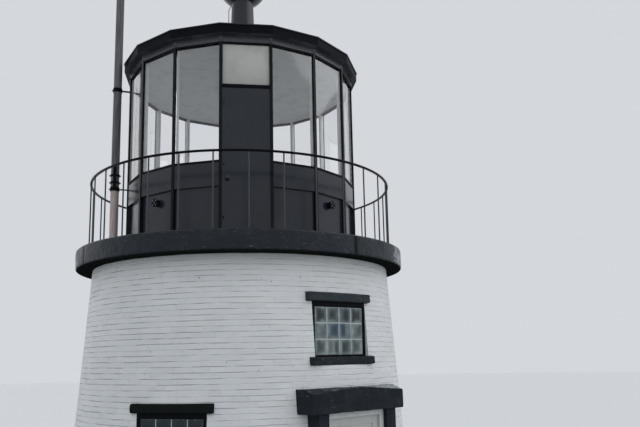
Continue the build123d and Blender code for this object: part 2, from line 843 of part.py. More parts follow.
bracket_inner = lantern_radius + post_depth / 2
collar_radius = mast_radius + collar_thickness
lower_bracket, upper_bracket = bracket_heights
collars = [
    (lower_bracket, collar_height),
    (upper_bracket, collar_height),
    *[(height, clamp_collar_height) for height in clamp_collar_heights],
]
strap_foot = lower_bracket - collar_height / 2
with BuildPart() as mast_brackets:
    for height, depth in collars:
        with BuildSketch(mast_plane(mast_azimuth, height - depth / 2)):
            Circle(collar_radius)
        extrude(amount=depth)
        with BuildSketch(mast_plane(clamp_strap_azimuth, height)):
            Rectangle(2 * (collar_radius + collar_bolt_reach), 2 * collar_bolt_radius)
        extrude(amount=collar_bolt_radius, both=True)
    for height in bracket_heights:
        with BuildSketch(
            level(mast_azimuth, bracket_inner, deck_height + height - bracket_thickness / 2)
        ):
            Rectangle(bracket_width, mast_distance - bracket_inner, align=(Align.CENTER, Align.MAX))
        extrude(amount=bracket_thickness)
    with BuildSketch(mast_plane(clamp_strap_azimuth, strap_foot)):
        with Locations((0, -mast_radius)):
            Rectangle(
                clamp_strap_width, collar_thickness + seat_gap, align=(Align.CENTER, Align.MAX)
            )
    extrude(amount=clamp_strap_top - strap_foot)
    with BuildSketch(mast_plane(mast_azimuth, strap_foot)):
        Circle(mast_radius + seat_gap)
    extrude(amount=upper_bracket + collar_height - strap_foot, mode=Mode.SUBTRACT)
save(mast_brackets, "mast_brackets")
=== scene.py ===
"""Looks of a short round lighthouse: white painted brick, black stone and an iron lantern.

Metres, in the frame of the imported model. The origin is the middle of the tower's base, +Z is up and
the ground door faces -Y. An azimuth is in degrees from the door, positive towards +X, so that the
point at azimuth a and distance d from the axis is (d sin a, -d cos a).
"""

import logging
from dataclasses import dataclass
from enum import Enum

import bmesh
import bpy
import numpy as np
from mathutils import Matrix


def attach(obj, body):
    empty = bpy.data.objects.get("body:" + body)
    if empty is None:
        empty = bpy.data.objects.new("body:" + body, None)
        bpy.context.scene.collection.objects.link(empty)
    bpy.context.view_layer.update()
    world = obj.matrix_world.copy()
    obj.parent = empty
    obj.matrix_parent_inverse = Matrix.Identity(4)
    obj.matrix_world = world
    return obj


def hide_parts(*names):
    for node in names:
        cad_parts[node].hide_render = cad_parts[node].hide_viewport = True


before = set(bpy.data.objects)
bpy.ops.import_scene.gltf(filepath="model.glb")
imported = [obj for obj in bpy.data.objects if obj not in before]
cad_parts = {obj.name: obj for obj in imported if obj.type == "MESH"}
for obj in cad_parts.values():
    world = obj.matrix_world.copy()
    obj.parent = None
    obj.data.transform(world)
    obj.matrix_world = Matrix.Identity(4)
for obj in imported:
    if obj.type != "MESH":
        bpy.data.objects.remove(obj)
log = logging.getLogger("lighthouse")

Socket = bpy.types.NodeSocket
Colour = tuple[float, float, float]
Feed = Socket | float | Colour

# Body that every added piece rides on. The ground door moves CAD pieces alone.
TOWER = "tower"


class Slot(Enum):
    """Material slot names of the model's record; the added pieces do not use them."""

    BRICK = "white_brick"
    STONE = "black_stone"
    IRON = "black_iron"
    WOOD = "white_wood"
    BLOCK = "glass_block"
    METAL = "pale_metal"


# ---- Meshes as arrays


@dataclass
class Sheet:
    """A mesh as arrays: points, four-cornered faces and named values at the points."""

    points: np.ndarray
    faces: np.ndarray
    values: dict[str, np.ndarray]


def grid_sheet(points: np.ndarray, wrap: bool = False, **values: np.ndarray) -> Sheet:
    """Join a grid of points, or a stack of equal grids, to a sheet. Each cell is one face.

    Args:
        points: Array of rows, columns and three coordinates, or of copies of it, as for bricks or
            bolts. Seen from outside, columns run to the right and rows run up, so that faces point
            outwards.
        wrap: True where the last column joins the first.
        values: Arrays of the grid's shape, kept as attributes of the points.

    Returns:
        The sheet.
    """
    number = np.arange(points.size // 3).reshape(-1, *points.shape[-3:-1])
    if wrap:
        number = np.concatenate([number, number[..., :1]], axis=-1)
    low, high = number[:, :-1], number[:, 1:]
    faces = np.stack([low[..., :-1], low[..., 1:], high[..., 1:], high[..., :-1]], axis=-1)
    flat = {name: value.reshape(-1) for name, value in values.items()}
    return Sheet(points.reshape(-1, 3), faces.reshape(-1, 4), flat)


def join(sheets: list[Sheet]) -> Sheet:
    """Put several sheets in one, with zero where a sheet lacks a value.

    Args:
        sheets: The sheets.

    Returns:
        The joined sheet.
    """
    starts = np.cumsum([0] + [len(sheet.points) for sheet in sheets[:-1]])
    faces = [sheet.faces + start for sheet, start in zip(sheets, starts)]
    values = {}
    for name in {name for sheet in sheets for name in sheet.values}:
        parts = [sheet.values.get(name, np.zeros(len(sheet.points))) for sheet in sheets]
        values[name] = np.concatenate(parts)
    return Sheet(np.concatenate([s.points for s in sheets]), np.concatenate(faces), values)


def around(azimuth: np.ndarray, distance: np.ndarray, height: np.ndarray) -> np.ndarray:
    """Points of the tower: x is distance times sin azimuth, y minus distance times cos azimuth.

    Args:
        azimuth: Degrees from the door.
        distance: Distance from the axis.
        height: Height above the ground.

    Returns:
        The points, with three coordinates on the last axis.
    """
    a, d, z = np.broadcast_arrays(np.radians(azimuth), distance, height)
    return np.stack([d * np.sin(a), -d * np.cos(a), z], axis=-1)


@dataclass(frozen=True)
class Place:
    """An upright plane that looks outwards: x to the right, y up and z outwards."""

    azimuth: float
    distance: float
    height: float

    def put(self, points: np.ndarray) -> np.ndarray:
        """Move points of the plane to the tower's frame.

        Args:
            points: Points with three coordinates on the last axis.

        Returns:
            The moved points.
        """
        a = np.radians(self.azimuth)
        right = np.array([np.cos(a), np.sin(a), 0.0])
        outward = np.array([np.sin(a), -np.cos(a), 0.0])
        up = np.array([0.0, 0.0, 1.0])
        x, y, z = (points[..., number, None] for number in range(3))
        return x * right + (y + self.height) * up + (z + self.distance) * outward

    def sheet(self, points: np.ndarray, wrap: bool = False) -> Sheet:
        """A grid of the plane's points as a sheet in the tower's frame."""
        return grid_sheet(self.put(points), wrap)


def bell(azimuth: np.ndarray, middle: float, width: float) -> np.ndarray:
    """Bell round the tower: e to the power of minus the square of (degrees away over width)."""
    away = (azimuth - middle + 180.0) % 360.0 - 180.0
    return np.exp(-((away / width) ** 2))


def turned(profile: list[tuple[float, float]], sides: int = 14) -> np.ndarray:
    """Surface of revolution: each profile point, a radius and a reach, goes round the z axis.

    Args:
        profile: Radius and reach, from the foot to the closed tip.
        sides: Points round the axis.

    Returns:
        Grid of points.
    """
    radius, reach = np.array(profile).T
    turn = np.arange(sides) / sides * 2 * np.pi
    x, y = radius[:, None] * np.cos(turn), radius[:, None] * np.sin(turn)
    return np.stack([x, y, np.broadcast_to(reach[:, None], x.shape)], axis=-1)


def bolt_head(radius: float, height: float) -> list[tuple[float, float]]:
    """Profile of a round bolt head: a quarter ellipse from its foot to its tip."""
    turn = np.linspace(0, np.pi / 2, 5)
    return list(zip(radius * np.cos(turn), height * np.sin(turn)))


def plate(width: float, height: float, thickness: float, bevel: float) -> list[np.ndarray]:
    """Front and back of a flat plate with bevelled edges, centred on the plane's origin.

    The front's outer rows and columns lie on the plane, the next ones on the bevel's foot and
    the rest on the face. The back is one flat face on the plane.

    Args:
        width: Size across.
        height: Size upwards.
        thickness: How far the face stands in front of the plane.
        bevel: Width of the bevel.

    Returns:
        The two grids.
    """
    step = np.array([0.0, 0.0, 1.0, 1.0])
    lift = np.array([0.0, thickness - bevel, thickness, thickness])
    sides = []
    for size in (width, height):
        half = -size / 2 + step * bevel
        sides.append(np.concatenate([half[:3], -half[:3][::-1]]))
    x, y = np.meshgrid(sides[0], sides[1])
    z = np.minimum.outer(*(np.concatenate([lift[:3], lift[:3][::-1]]),) * 2)
    corner = np.array([-1.0, 1.0])
    back_x, back_y = np.meshgrid(-corner * width / 2, corner * height / 2)
    back = np.stack([back_x, back_y, np.zeros((2, 2))], axis=-1)
    return [np.stack([x, y, z], axis=-1), back]


def rounded(corners: np.ndarray, radius: float, arc: int = 4, side: int = 9) -> np.ndarray:
    """Sections with rounded corners: a quadratic curve at each corner, straight steps between.

    The straight steps are shortest beside the corners, as a cosine spaces them, which keeps the
    corners crisp.

    Args:
        corners: Array of sections, corners and two coordinates.
        radius: How far from a corner its curve starts.
        arc: Points on a corner's curve.
        side: Steps between two curves.

    Returns:
        Array of sections, points and two coordinates.
    """
    before = corners - np.roll(corners, 1, axis=1)
    after = np.roll(corners, -1, axis=1) - corners
    before /= np.linalg.norm(before, axis=-1, keepdims=True)
    after /= np.linalg.norm(after, axis=-1, keepdims=True)
    first, last = corners - before * radius, corners + after * radius
    s = np.linspace(0, 1, arc)[None, None, :, None]
    curve = (
        (1 - s) ** 2 * first[:, :, None]
        + 2 * s * (1 - s) * corners[:, :, None]
        + s**2 * last[:, :, None]
    )
    following = np.roll(first, -1, axis=1)
    w = (0.5 - 0.5 * np.cos(np.linspace(0, np.pi, side + 1)))[1:-1][None, None, :, None]
    straight = last[:, :, None] * (1 - w) + following[:, :, None] * w
    return np.concatenate([curve, straight], axis=2).reshape(len(corners), -1, 2)


def smooth_noise(u: np.ndarray, v: np.ndarray, cells: int, seed: int) -> np.ndarray:
    """Value noise that repeats after one unit of u: random values on a lattice, blended smoothly.

    Args:
        u: First parameter, from 0 to 1 once round.
        v: Second parameter, in the same unit.
        cells: Lattice cells in one unit.
        seed: Seed of the random values.

    Returns:
        Values from -1 to 1.
    """
    lattice = np.random.default_rng(seed).uniform(-1, 1, (cells, 64))
    x, y = np.mod(u, 1.0) * cells, np.mod(v * cells, 64)
    i, j = np.floor(x).astype(int), np.floor(y).astype(int)
    s, t = x - i, y - j
    s, t = s * s * (3 - 2 * s), t * t * (3 - 2 * t)
    i, j, k, m = i % cells, j % 64, (i + 1) % cells, (j + 1) % 64
    low = lattice[i, j] * (1 - s) + lattice[k, j] * s
    high = lattice[i, m] * (1 - s) + lattice[k, m] * s
    return low * (1 - t) + high * t


def rough(u: np.ndarray, v: np.ndarray, cells: int, octaves: int, seed: int) -> np.ndarray:
    """Sum of smooth noises, each twice as fine and half as strong as the one before."""
    layers = [smooth_noise(u, v, cells * 2**n, seed + n) * 0.5**n for n in range(octaves)]
    return np.sum(layers, axis=0)


# ---- Materials


class Nodes:
    """A node tree, and how nodes are added to it and fed."""

    def __init__(self, tree: bpy.types.NodeTree) -> None:
        """Start with an empty tree.

        Args:
            tree: Tree of a material or a world.
        """
        self.tree = tree
        self.tree.nodes.clear()

    def feed(self, socket: Socket, value: Feed) -> None:
        """Link a socket or set its plain value.

        Args:
            socket: The input.
            value: An output to link, a number or a colour.
        """
        if isinstance(value, bpy.types.NodeSocket):
            self.tree.links.new(value, socket)
        elif isinstance(value, tuple) and len(socket.default_value) == 4:
            socket.default_value = (*value, 1.0)
        else:
            socket.default_value = value

    def node(
        self, kind: str, inputs: dict[str | int, Feed] | None = None, **settings: str | bool
    ) -> bpy.types.Node:
        """Add a node, set its properties and feed its inputs.

        Args:
            kind: Type of the node, without the word that all types start with.
            inputs: What goes to each input, by its name or number.
            settings: Properties of the node.

        Returns:
            The node.
        """
        made = self.tree.nodes.new(f"ShaderNode{kind}")
        for name, value in settings.items():
            setattr(made, name, value)
        for name, value in (inputs or {}).items():
            self.feed(made.inputs[name], value)
        return made

    def math(self, operation: str, a: Socket | float, b: Socket | float) -> Socket:
        """Two numbers joined by a math operation."""
        return self.node("Math", {0: a, 1: b}, operation=operation).outputs[0]

    def blend(self, factor: Socket, a: Socket, b: Socket) -> Socket:
        """Shader a blended into shader b by a factor."""
        return self.node("MixShader", {0: factor, 1: a, 2: b}).outputs[0]

    def shown(self) -> Socket:
        """One for rays that show a surface: seen straight, mirrored or through glass.

        Returns:
            The factor.
        """
        path = self.node("LightPath").outputs
        seen = self.math("MAXIMUM", path["Is Camera Ray"], path["Is Glossy Ray"])
        return self.math("MAXIMUM", seen, path["Is Transmission Ray"])


class Shader(Nodes):
    """A node material on Object coordinates, built from a few named steps."""

    def __init__(self, name: str) -> None:
        """Start a material with its shader and output.

        Args:
            name: Name of the finish.
        """
        self.material = bpy.data.materials.new(name)
        self.material.use_nodes = True
        super().__init__(self.material.node_tree)
        self.surface = self.node("BsdfPrincipled")
        self.output = self.node("OutputMaterial", {"Surface": self.surface.outputs[0]})
        self.place = self.node("TexCoord").outputs["Object"]

    def noise(self, scale: float | Colour, detail: float = 3.0, rough: float = 0.55) -> Socket:
        """Noise from 0 to 1.

        Args:
            scale: Cells in a metre, as one number, or as one for each axis where it makes streaks.
            detail: Octaves.
            rough: Strength of the finer octaves.

        Returns:
            The factor.
        """
        place = self.place
        if isinstance(scale, tuple):
            place = self.node("Mapping", {"Vector": place, "Scale": scale}).outputs[0]
            scale = 1.0
        inputs = {"Vector": place, "Scale": scale, "Detail": detail, "Roughness": rough}
        return self.node("TexNoise", inputs).outputs["Fac"]

    def ramp(self, factor: Socket, low: float, high: float) -> Socket:
        """Factor that rises smoothly from 0 at low to 1 at high."""
        inputs = {"Value": factor, "From Min": low, "From Max": high}
        return self.node("MapRange", inputs, clamp=True, interpolation_type="SMOOTHSTEP").outputs[0]

    def range(self, factor: Socket, low: float, high: float) -> Socket:
        """Factor from 0 to 1 spread from low to high."""
        inputs = {"Value": factor, "To Min": low, "To Max": high}
        return self.node("MapRange", inputs, clamp=True).outputs[0]

    def mix(self, factor: Socket | float, a: Socket | Colour, b: Socket | Colour) -> Socket:
        """Colour a blended into colour b by a factor."""
        return self.node("Mix", {0: factor, 6: a, 7: b}, data_type="RGBA").outputs[2]

    def axis(self, name: str) -> Socket:
        """One of the Object coordinates X, Y or Z."""
        return self.node("SeparateXYZ", {0: self.place}).outputs[name]

    def radius(self) -> Socket:
        """Distance of the point from the tower's axis: the root of x squared plus y squared.

        Returns:
            The distance.
        """
        x, y = self.axis("X"), self.axis("Y")
        squares = self.math("ADD", self.math("MULTIPLY", x, x), self.math("MULTIPLY", y, y))
        return self.math("SQRT", squares, 0.0)

    def value(self, name: str) -> Socket:
        """A named value of the piece's points."""
        return self.node("Attribute", attribute_name=name).outputs["Fac"]

    def bump(self, height: Socket, depth: float, onto: Socket | None = None) -> Socket:
        """Relief of a height from 0 to 1.

        Args:
            height: The factor.
            depth: Its depth in metres.
            onto: Relief that this one is laid on.

        Returns:
            The normal.
        """
        inputs = {"Strength": 1.0, "Distance": depth, "Height": height}
        if onto is not None:
            inputs["Normal"] = onto
        return self.node("Bump", inputs).outputs[0]

    def finish(
        self,
        colour: Socket | Colour,
        roughness: Socket | float,
        normal: Socket | None = None,
        gloss: Socket | float = 0.5,
        **more: float,
    ) -> bpy.types.Material:
        """Give the shader its colour, roughness and relief.

        Args:
            colour: Base colour.
            roughness: Roughness.
            normal: Relief, if any.
            gloss: Specular level, 0.5 for most paints.
            more: Other inputs of the shader, with an underscore for each space in a name.

        Returns:
            The material.
        """
        inputs = {"Base Color": colour, "Roughness": roughness, "Specular IOR Level": gloss}
        if normal is not None:
            inputs["Normal"] = normal
        inputs |= {name.replace("_", " "): value for name, value in more.items()}
        for name, value in inputs.items():
            self.feed(self.surface.inputs[name], value)
        return self.material


@dataclass(frozen=True)
class PaintedBrick:
    """White paint, many coats thick, on brick."""

    paint: Colour = (0.656, 0.668, 0.676)
    grime: Colour = (0.41, 0.42, 0.418)
    joint_dirt: Colour = (0.080, 0.086, 0.088)
    mark: Colour = (0.045, 0.048, 0.05)
    roughness: float = 0.58

    def material(self) -> bpy.types.Material:
        """Paint with broad stains, runs, tones that differ by brick, and dirt in the joints.

        Returns:
            The material.
        """
        s = Shader("painted_brick")
        cloud = s.ramp(s.noise(0.9, 5, 0.6), 0.36, 0.72)
        run = s.ramp(s.noise((8.0, 8.0, 0.6), 4, 0.6), 0.52, 0.85)
        speck = s.ramp(s.noise(42, 2), 0.70, 0.78)
        chip = s.ramp(s.noise(26, 2, 0.4), 0.762, 0.782)
        colour = s.mix(s.range(cloud, 0.0, 0.18), self.paint, self.grime)
        colour = s.mix(s.range(run, 0.0, 0.20), colour, self.grime)
        colour = s.mix(s.value("tone"), colour, self.grime)
        colour = s.mix(s.range(speck, 0.0, 0.3), colour, self.grime)
        colour = s.mix(s.range(chip, 0.0, 0.85), colour, self.mark)
        colour = s.mix(s.value("dirt"), colour, self.joint_dirt)
        coat = s.bump(s.noise((9.0, 9.0, 22.0), 4, 0.6), 0.006)
        grain = s.bump(s.noise(85, 4, 0.65), 0.0022, coat)
        return s.finish(colour, s.range(cloud, self.roughness, 0.75), grain, 0.4)


@dataclass(frozen=True)
class DarkStone:
    """Hard stone painted near-black, with worn and chipped places."""

    name: str = "dark_stone"
    dark: Colour = (0.0148, 0.0186, 0.0236)
    light: Colour = (0.030, 0.037, 0.045)
    gloss: float = 0.05
    roughness: float = 0.50
    bare: Colour = (0.33, 0.36, 0.39)
    fleck: Colour = (0.42, 0.43, 0.43)
    fleck_share: float = 0.78
    scratches: float = 0.22
    foot: float = -1.0
    # Near-black of the joints between stones and, below the foot, of painted shade.
    below_foot_and_joint_dark: Colour = (0.0105, 0.0130, 0.0120)

    def material(self) -> bpy.types.Material:
        """Near-black paint, bare stone where the wear value is high, and few white flecks.

        Where the gap value is 1 the joints between stones are near-black. Below the foot the stone is
        near-black and has no gloss, which on the slab is painted shade under it.

        Returns:
            The material.
        """
        s = Shader(self.name)
        patch = s.ramp(s.noise(5.0, 5, 0.65), 0.45, 0.74)
        colour = s.mix(s.range(patch, 0.0, 0.7), self.dark, self.light)
        reach = s.math("MULTIPLY", s.value("wear"), 0.34)
        rubbed = s.ramp(s.math("ADD", s.noise(30, 4, 0.7), reach), 0.71, 0.79)
        colour = s.mix(s.range(rubbed, 0.0, 0.8), colour, self.bare)
        scratch = s.ramp(s.noise((11.0, 11.0, 70.0), 4, 0.7), 0.62, 0.72)
        colour = s.mix(s.range(scratch, 0.0, self.scratches), colour, self.bare)
        fleck = s.ramp(s.noise(36, 3, 0.5), self.fleck_share, self.fleck_share + 0.02)
        colour = s.mix(s.range(fleck, 0.0, 0.8), colour, self.fleck)
        # Below the foot the stone turns near-black, painted shade as under the slab; where the gap
        # value is high the near-black is the joints between stones.
        above_foot_and_off_joint = s.ramp(s.axis("Z"), self.foot + 0.003, self.foot + 0.030)
        above_foot_and_off_joint = s.math("MULTIPLY", above_foot_and_off_joint, s.range(s.value("gap"), 1.0, 0.0))
        colour = s.mix(above_foot_and_off_joint, self.below_foot_and_joint_dark, colour)
        coarse = s.bump(s.noise(20, 5, 0.62), 0.009)
        fine = s.bump(s.noise(120, 3, 0.6), 0.002, coarse)
        rough_paint = s.range(patch, self.roughness, self.roughness + 0.25)
        return s.finish(colour, rough_paint, fine, s.range(above_foot_and_off_joint, 0.0, self.gloss))


@dataclass(frozen=True)
class IronPaint:
    """Satin black paint on iron plate."""

    name: str = "black_iron_paint"
    paint: Colour = (0.0102, 0.0138, 0.0212)
    chalk: Colour = (0.024, 0.028, 0.036)
    rust: Colour = (0.060, 0.030, 0.017)
    roughness: float = 0.18
    gloss: float = 0.40
    inner: Colour | None = None
    inner_chalk: Colour = (0.5, 0.51, 0.51)
    inner_radius: float = 1.7125
    inner_foot: float = 5.38
    inner_top: float = 9.0

    def material(self) -> bpy.types.Material:
        """Paint that chalks in patches, with runs and rust spots, and of another colour inside.

        Inside means nearer to the middle than the inner radius, between the inner foot and top. On
        the posts the inner colour is white paint; on the eave it is painted light, a lighter soffit.

        Returns:
            The material.
        """
        s = Shader(self.name)
        patch = s.ramp(s.noise(2.2, 4, 0.6), 0.42, 0.72)
        run = s.ramp(s.noise((26.0, 26.0, 1.6), 3, 0.6), 0.55, 0.8)
        spot = s.ramp(s.noise(46, 3, 0.7), 0.745, 0.775)
        colour = s.mix(s.range(patch, 0.0, 0.35), self.paint, self.chalk)
        colour = s.mix(s.range(run, 0.0, 0.3), colour, self.chalk)
        colour = s.mix(s.range(spot, 0.0, 0.8), colour, self.rust)
        # The inner colour: white paint inside the posts, and painted light on the eave's soffit.
        if self.inner is not None:
            near = s.math("LESS_THAN", s.radius(), self.inner_radius)
            above = s.math("GREATER_THAN", s.axis("Z"), self.inner_foot)
            below = s.math("LESS_THAN", s.axis("Z"), self.inner_top)
            inside = s.math("MULTIPLY", s.math("MULTIPLY", near, above), below)
            inner = s.mix(s.range(patch, 0.0, 0.15), self.inner, self.inner_chalk)
            colour = s.mix(inside, colour, inner)
        coat = s.bump(s.noise(12, 2, 0.5), 0.0004)
        grain = s.bump(s.noise((240.0, 240.0, 30.0), 4, 0.6), 0.00006, coat)
        rough_paint = s.range(patch, self.roughness, self.roughness + 0.10)
        return s.finish(colour, rough_paint, grain, self.gloss)


@dataclass(frozen=True)
class MastPaint:
    """Weathered paint of the mast: grey above the clamp and bare brown-grey below it."""

    paint: Colour = (0.155, 0.156, 0.163)
    paint_dirt: Colour = (0.060, 0.060, 0.064)
    bare: Colour = (0.55, 0.47, 0.44)
    bare_dirt: Colour = (0.33, 0.285, 0.268)
    change: float = 5.31

    def material(self) -> bpy.types.Material:
        """Grain that runs up the mast, with the change of colour broken by noise.

        Returns:
            The material.
        """
        s = Shader("mast_paint")
        grain = s.noise((90.0, 90.0, 3.0), 4, 0.65)
        edge = s.math("ADD", s.axis("Z"), s.range(s.noise(9, 3), -0.05, 0.05))
        above = s.ramp(edge, self.change - 0.03, self.change + 0.03)
        clean = s.ramp(grain, 0.35, 0.7)
        dark = s.mix(clean, self.paint_dirt, self.paint)
        pale = s.mix(clean, self.bare_dirt, self.bare)
        normal = s.bump(grain, 0.0012)
        return s.finish(s.mix(above, pale, dark), s.range(grain, 0.5, 0.8), normal, 0.4)


@dataclass(frozen=True)
class FlatPaint:
    """Paint in one colour with slight stains, for wood, ceiling and metal."""

    name: str
    paint: Colour
    stain: Colour
    roughness: float = 0.5
    grain: Colour = (60.0, 60.0, 60.0)
    depth: float = 0.0005
    metallic: float = 0.0

    def material(self) -> bpy.types.Material:
        """Paint with soft stains, brush marks and a few marks.

        Returns:
            The material.
        """
        s = Shader(self.name)
        stain = s.ramp(s.noise(5, 5, 0.6), 0.45, 0.75)
        mark = s.ramp(s.noise(34, 2, 0.6), 0.72, 0.77)
        colour = s.mix(s.range(stain, 0.0, 0.5), self.paint, self.stain)
        colour = s.mix(s.range(mark, 0.0, 0.5), colour, self.stain)
        normal = s.bump(s.noise(self.grain, 4, 0.6), self.depth)
        dull = s.range(stain, self.roughness, self.roughness + 0.15)
        return s.finish(colour, dull, normal, Metallic=self.metallic)


@dataclass(frozen=True)
class ClearGlass:
    """Clear old window glass, slightly wavy, that lets the lamps through."""

    tint: Colour = (0.996, 0.999, 0.998)
    shade: Colour = (0.96, 0.97, 0.97)

    def material(self) -> bpy.types.Material:
        """Glass with long soft waves.

        Returns:
            The material.
        """
        s = Shader("clear_glass")
        wave = s.bump(s.noise(2.2, 2, 0.4), 0.0012)
        material = s.finish(self.tint, 0.02, wave, Transmission_Weight=1.0, IOR=1.45)
        shadow = s.node("LightPath").outputs["Is Shadow Ray"]
        through = s.node("BsdfTransparent", {"Color": self.shade}).outputs[0]
        both = s.blend(shadow, s.surface.outputs[0], through)
        s.feed(s.output.inputs["Surface"], both)
        return material


@dataclass(frozen=True)
class BlockGlass:
    """Thick pressed glass of the window blocks, with a dark room behind it."""

    # deep is the dark room behind the glass, painted in as shade; pale is painted light through the
    # glass; blue is a painted sky reflection.
    deep: Colour = (0.016, 0.022, 0.024)
    pale: Colour = (0.34, 0.395, 0.39)
    sky_reflection_paint: Colour = (0.040, 0.082, 0.135)

    def material(self) -> bpy.types.Material:
        """Greenish glass, paler with painted light where the streak value is high, and bluer with a
        painted sky reflection where the sky value is.

        Returns:
            The material.
        """
        s = Shader("block_glass")
        # Painted light: pale where the streak value is high, a painted sky reflection in blue where
        # the sky value is, and painted shade of the dark room in the deep colour.
        cloud = s.range(s.noise((16.0, 16.0, 9.0), 3, 0.6), 0.55, 1.35)
        colour = s.mix(s.math("MULTIPLY", s.value("streak"), cloud), self.deep, self.pale)
        colour = s.mix(s.value("sky"), colour, self.sky_reflection_paint)
        normal = s.bump(s.noise(30, 3, 0.5), 0.001)
        return s.finish(colour, 0.12, normal, 0.19, Coat_Weight=0.08, Coat_Roughness=0.05)


Paint = PaintedBrick | DarkStone | IronPaint | MastPaint | FlatPaint | ClearGlass | BlockGlass

DEEP_BLACK = ((0.0030, 0.0036, 0.0055), (0.007, 0.008, 0.011))

PAINTS: dict[str, Paint] = {
    "brick": PaintedBrick(),
    "stone": DarkStone(fleck_share=0.80),
    # The slab's foot is its underside, which is painted near-black as painted shade.
    "slab": DarkStone(
        "slab_stone", (0.0108, 0.0148, 0.0205), (0.025, 0.033, 0.043), gloss=0.21,
        roughness=0.36, fleck_share=0.76, scratches=0.34, foot=4.080,
    ),
    # The lower windows' lintels lie wholly under this foot and take the near-black all over.
    "lintel": DarkStone(
        "lintel_stone", (0.034, 0.040, 0.046), (0.062, 0.072, 0.082), fleck_share=0.75, foot=2.5
    ),
    "sill": DarkStone(
        "sill_stone", (0.0180, 0.0225, 0.0265), (0.052, 0.061, 0.068), fleck_share=0.73,
        scratches=0.45,
    ),
    "jamb": DarkStone("jamb_stone", fleck_share=0.72),
    "iron": IronPaint(),
    "eave": IronPaint("eave_paint", *DEEP_BLACK, roughness=0.5, gloss=0.06),
    # The eave's soffit, under 7.1505 m and inside 1.84 m, is painted lighter than the black fascia:
    # painted light on a face that lies in shade.
    "soffit": IronPaint(
        "soffit_painted_light", *DEEP_BLACK, roughness=0.5, gloss=0.06, inner=(0.034, 0.038, 0.045),
        inner_radius=1.84, inner_foot=7.0, inner_top=7.1505,
    ),
    # The head plate and its strips are painted lighter than the other iron: painted light that
    # offsets the eave's shade on them.
    "head": IronPaint("head_painted_light", (0.042, 0.046, 0.054), (0.060, 0.065, 0.075), roughness=0.26),
    "post": IronPaint(
        "post_paint", (0.0035, 0.0042, 0.006), (0.008, 0.009, 0.012), gloss=0.14,
        inner=(0.86, 0.87, 0.87),
    ),
    "rail": IronPaint("rail_paint", (0.003, 0.0036, 0.005), (0.008, 0.009, 0.012), gloss=0.06),
    # The balusters are painted lighter than the black rail of the same iron: painted sheen.
    "baluster": IronPaint(
        "baluster_painted_sheen", (0.024, 0.028, 0.035), (0.042, 0.047, 0.055), gloss=0.45
    ),
    "mast": MastPaint(),
    "ceiling": FlatPaint(
        "ceiling_paint", (0.84, 0.87, 0.86), (0.58, 0.61, 0.61), 0.7, (12, 12, 12), 0.004
    ),
    "floor": FlatPaint(
        "floor_stone", (0.20, 0.20, 0.19), (0.11, 0.11, 0.105), 0.75, (40, 40, 40), 0.002
    ),
    "leaf": FlatPaint(
        "leaf_paint", (0.44, 0.45, 0.44), (0.33, 0.335, 0.325), 0.45, (90, 90, 8), 0.0008
    ),
    "trim": FlatPaint(
        "trim_paint", (0.60, 0.61, 0.61), (0.38, 0.39, 0.385), 0.45, (90, 90, 8), 0.0008
    ),
    "board": FlatPaint(
        "board_paint", (0.42, 0.42, 0.40), (0.33, 0.32, 0.28), 0.6, (25, 25, 25), 0.001
    ),
    "mortar": FlatPaint(
        "block_mortar", (0.42, 0.46, 0.44), (0.24, 0.28, 0.26), 0.8, (120, 120, 120), 0.001
    ),
    "brass": FlatPaint(
        "worn_brass", (0.55, 0.42, 0.22), (0.22, 0.16, 0.09), 0.3, (80, 80, 80), 0.0002, 1.0
    ),
    "metal": FlatPaint(
        "pale_metal", (0.46, 0.46, 0.45), (0.22, 0.21, 0.20), 0.4, (60, 60, 60), 0.0004
    ),
    "pane": ClearGlass(),
    "block": BlockGlass(),
}


class Finishes:
    """All finishes, built once and given to CAD nodes and new pieces."""

    def __init__(self) -> None:
        """Build every material."""
        self.made = {name: paint.material() for name, paint in PAINTS.items()}

    def __getitem__(self, name: str) -> bpy.types.Material:
        """The material of a finish."""
        return self.made[name]

    def dress(self, finish: str, *names: str) -> None:
        """Give CAD nodes a finish.

        Args:
            finish: Name of the finish.
            names: Names of the nodes.
        """
        for name in names:
            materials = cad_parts[name].data.materials
            materials.clear()
            materials.append(self[finish])
            log.info("%s: %s", name, finish)


def make_piece(
    name: str,
    sheet: Sheet,
    material: bpy.types.Material,
    weld: bool = False,
) -> bpy.types.Object:
    """Turn a sheet into a piece that rides on the tower.

    Args:
        name: Name of the piece.
        sheet: Its mesh.
        material: Its finish.
        weld: True to merge points that meet, at seams and poles.

    Returns:
        The piece.
    """
    mesh = bpy.data.meshes.new(name)
    mesh.vertices.add(len(sheet.points))
    mesh.vertices.foreach_set("co", sheet.points.astype(np.float32).ravel())
    mesh.loops.add(sheet.faces.size)
    mesh.loops.foreach_set("vertex_index", sheet.faces.astype(np.int32).ravel())
    mesh.polygons.add(len(sheet.faces))
    mesh.polygons.foreach_set("loop_start", np.arange(0, sheet.faces.size, 4, dtype=np.int32))
    mesh.polygons.foreach_set("use_smooth", np.ones(len(sheet.faces), bool))
    mesh.update(calc_edges=True)
    for key, value in sheet.values.items():
        attribute = mesh.attributes.new(key, "FLOAT", "POINT")
        attribute.data.foreach_set("value", value.astype(np.float32))
    if weld:
        work = bmesh.new()
        work.from_mesh(mesh)
        bmesh.ops.remove_doubles(work, verts=work.verts, dist=1e-6)
        work.to_mesh(mesh)
        work.free()
    piece = bpy.data.objects.new(name, mesh)
    bpy.context.scene.collection.objects.link(piece)
    mesh.materials.append(material)
    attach(piece, TOWER)
    log.info("%s: %d faces", name, len(sheet.faces))
    return piece


# ---- The tower's wall


@dataclass(frozen=True)
class Opening:
    """A rectangle of the wall that holds no bricks."""

    azimuth: float
    half_width: float
    bottom: float
    top: float


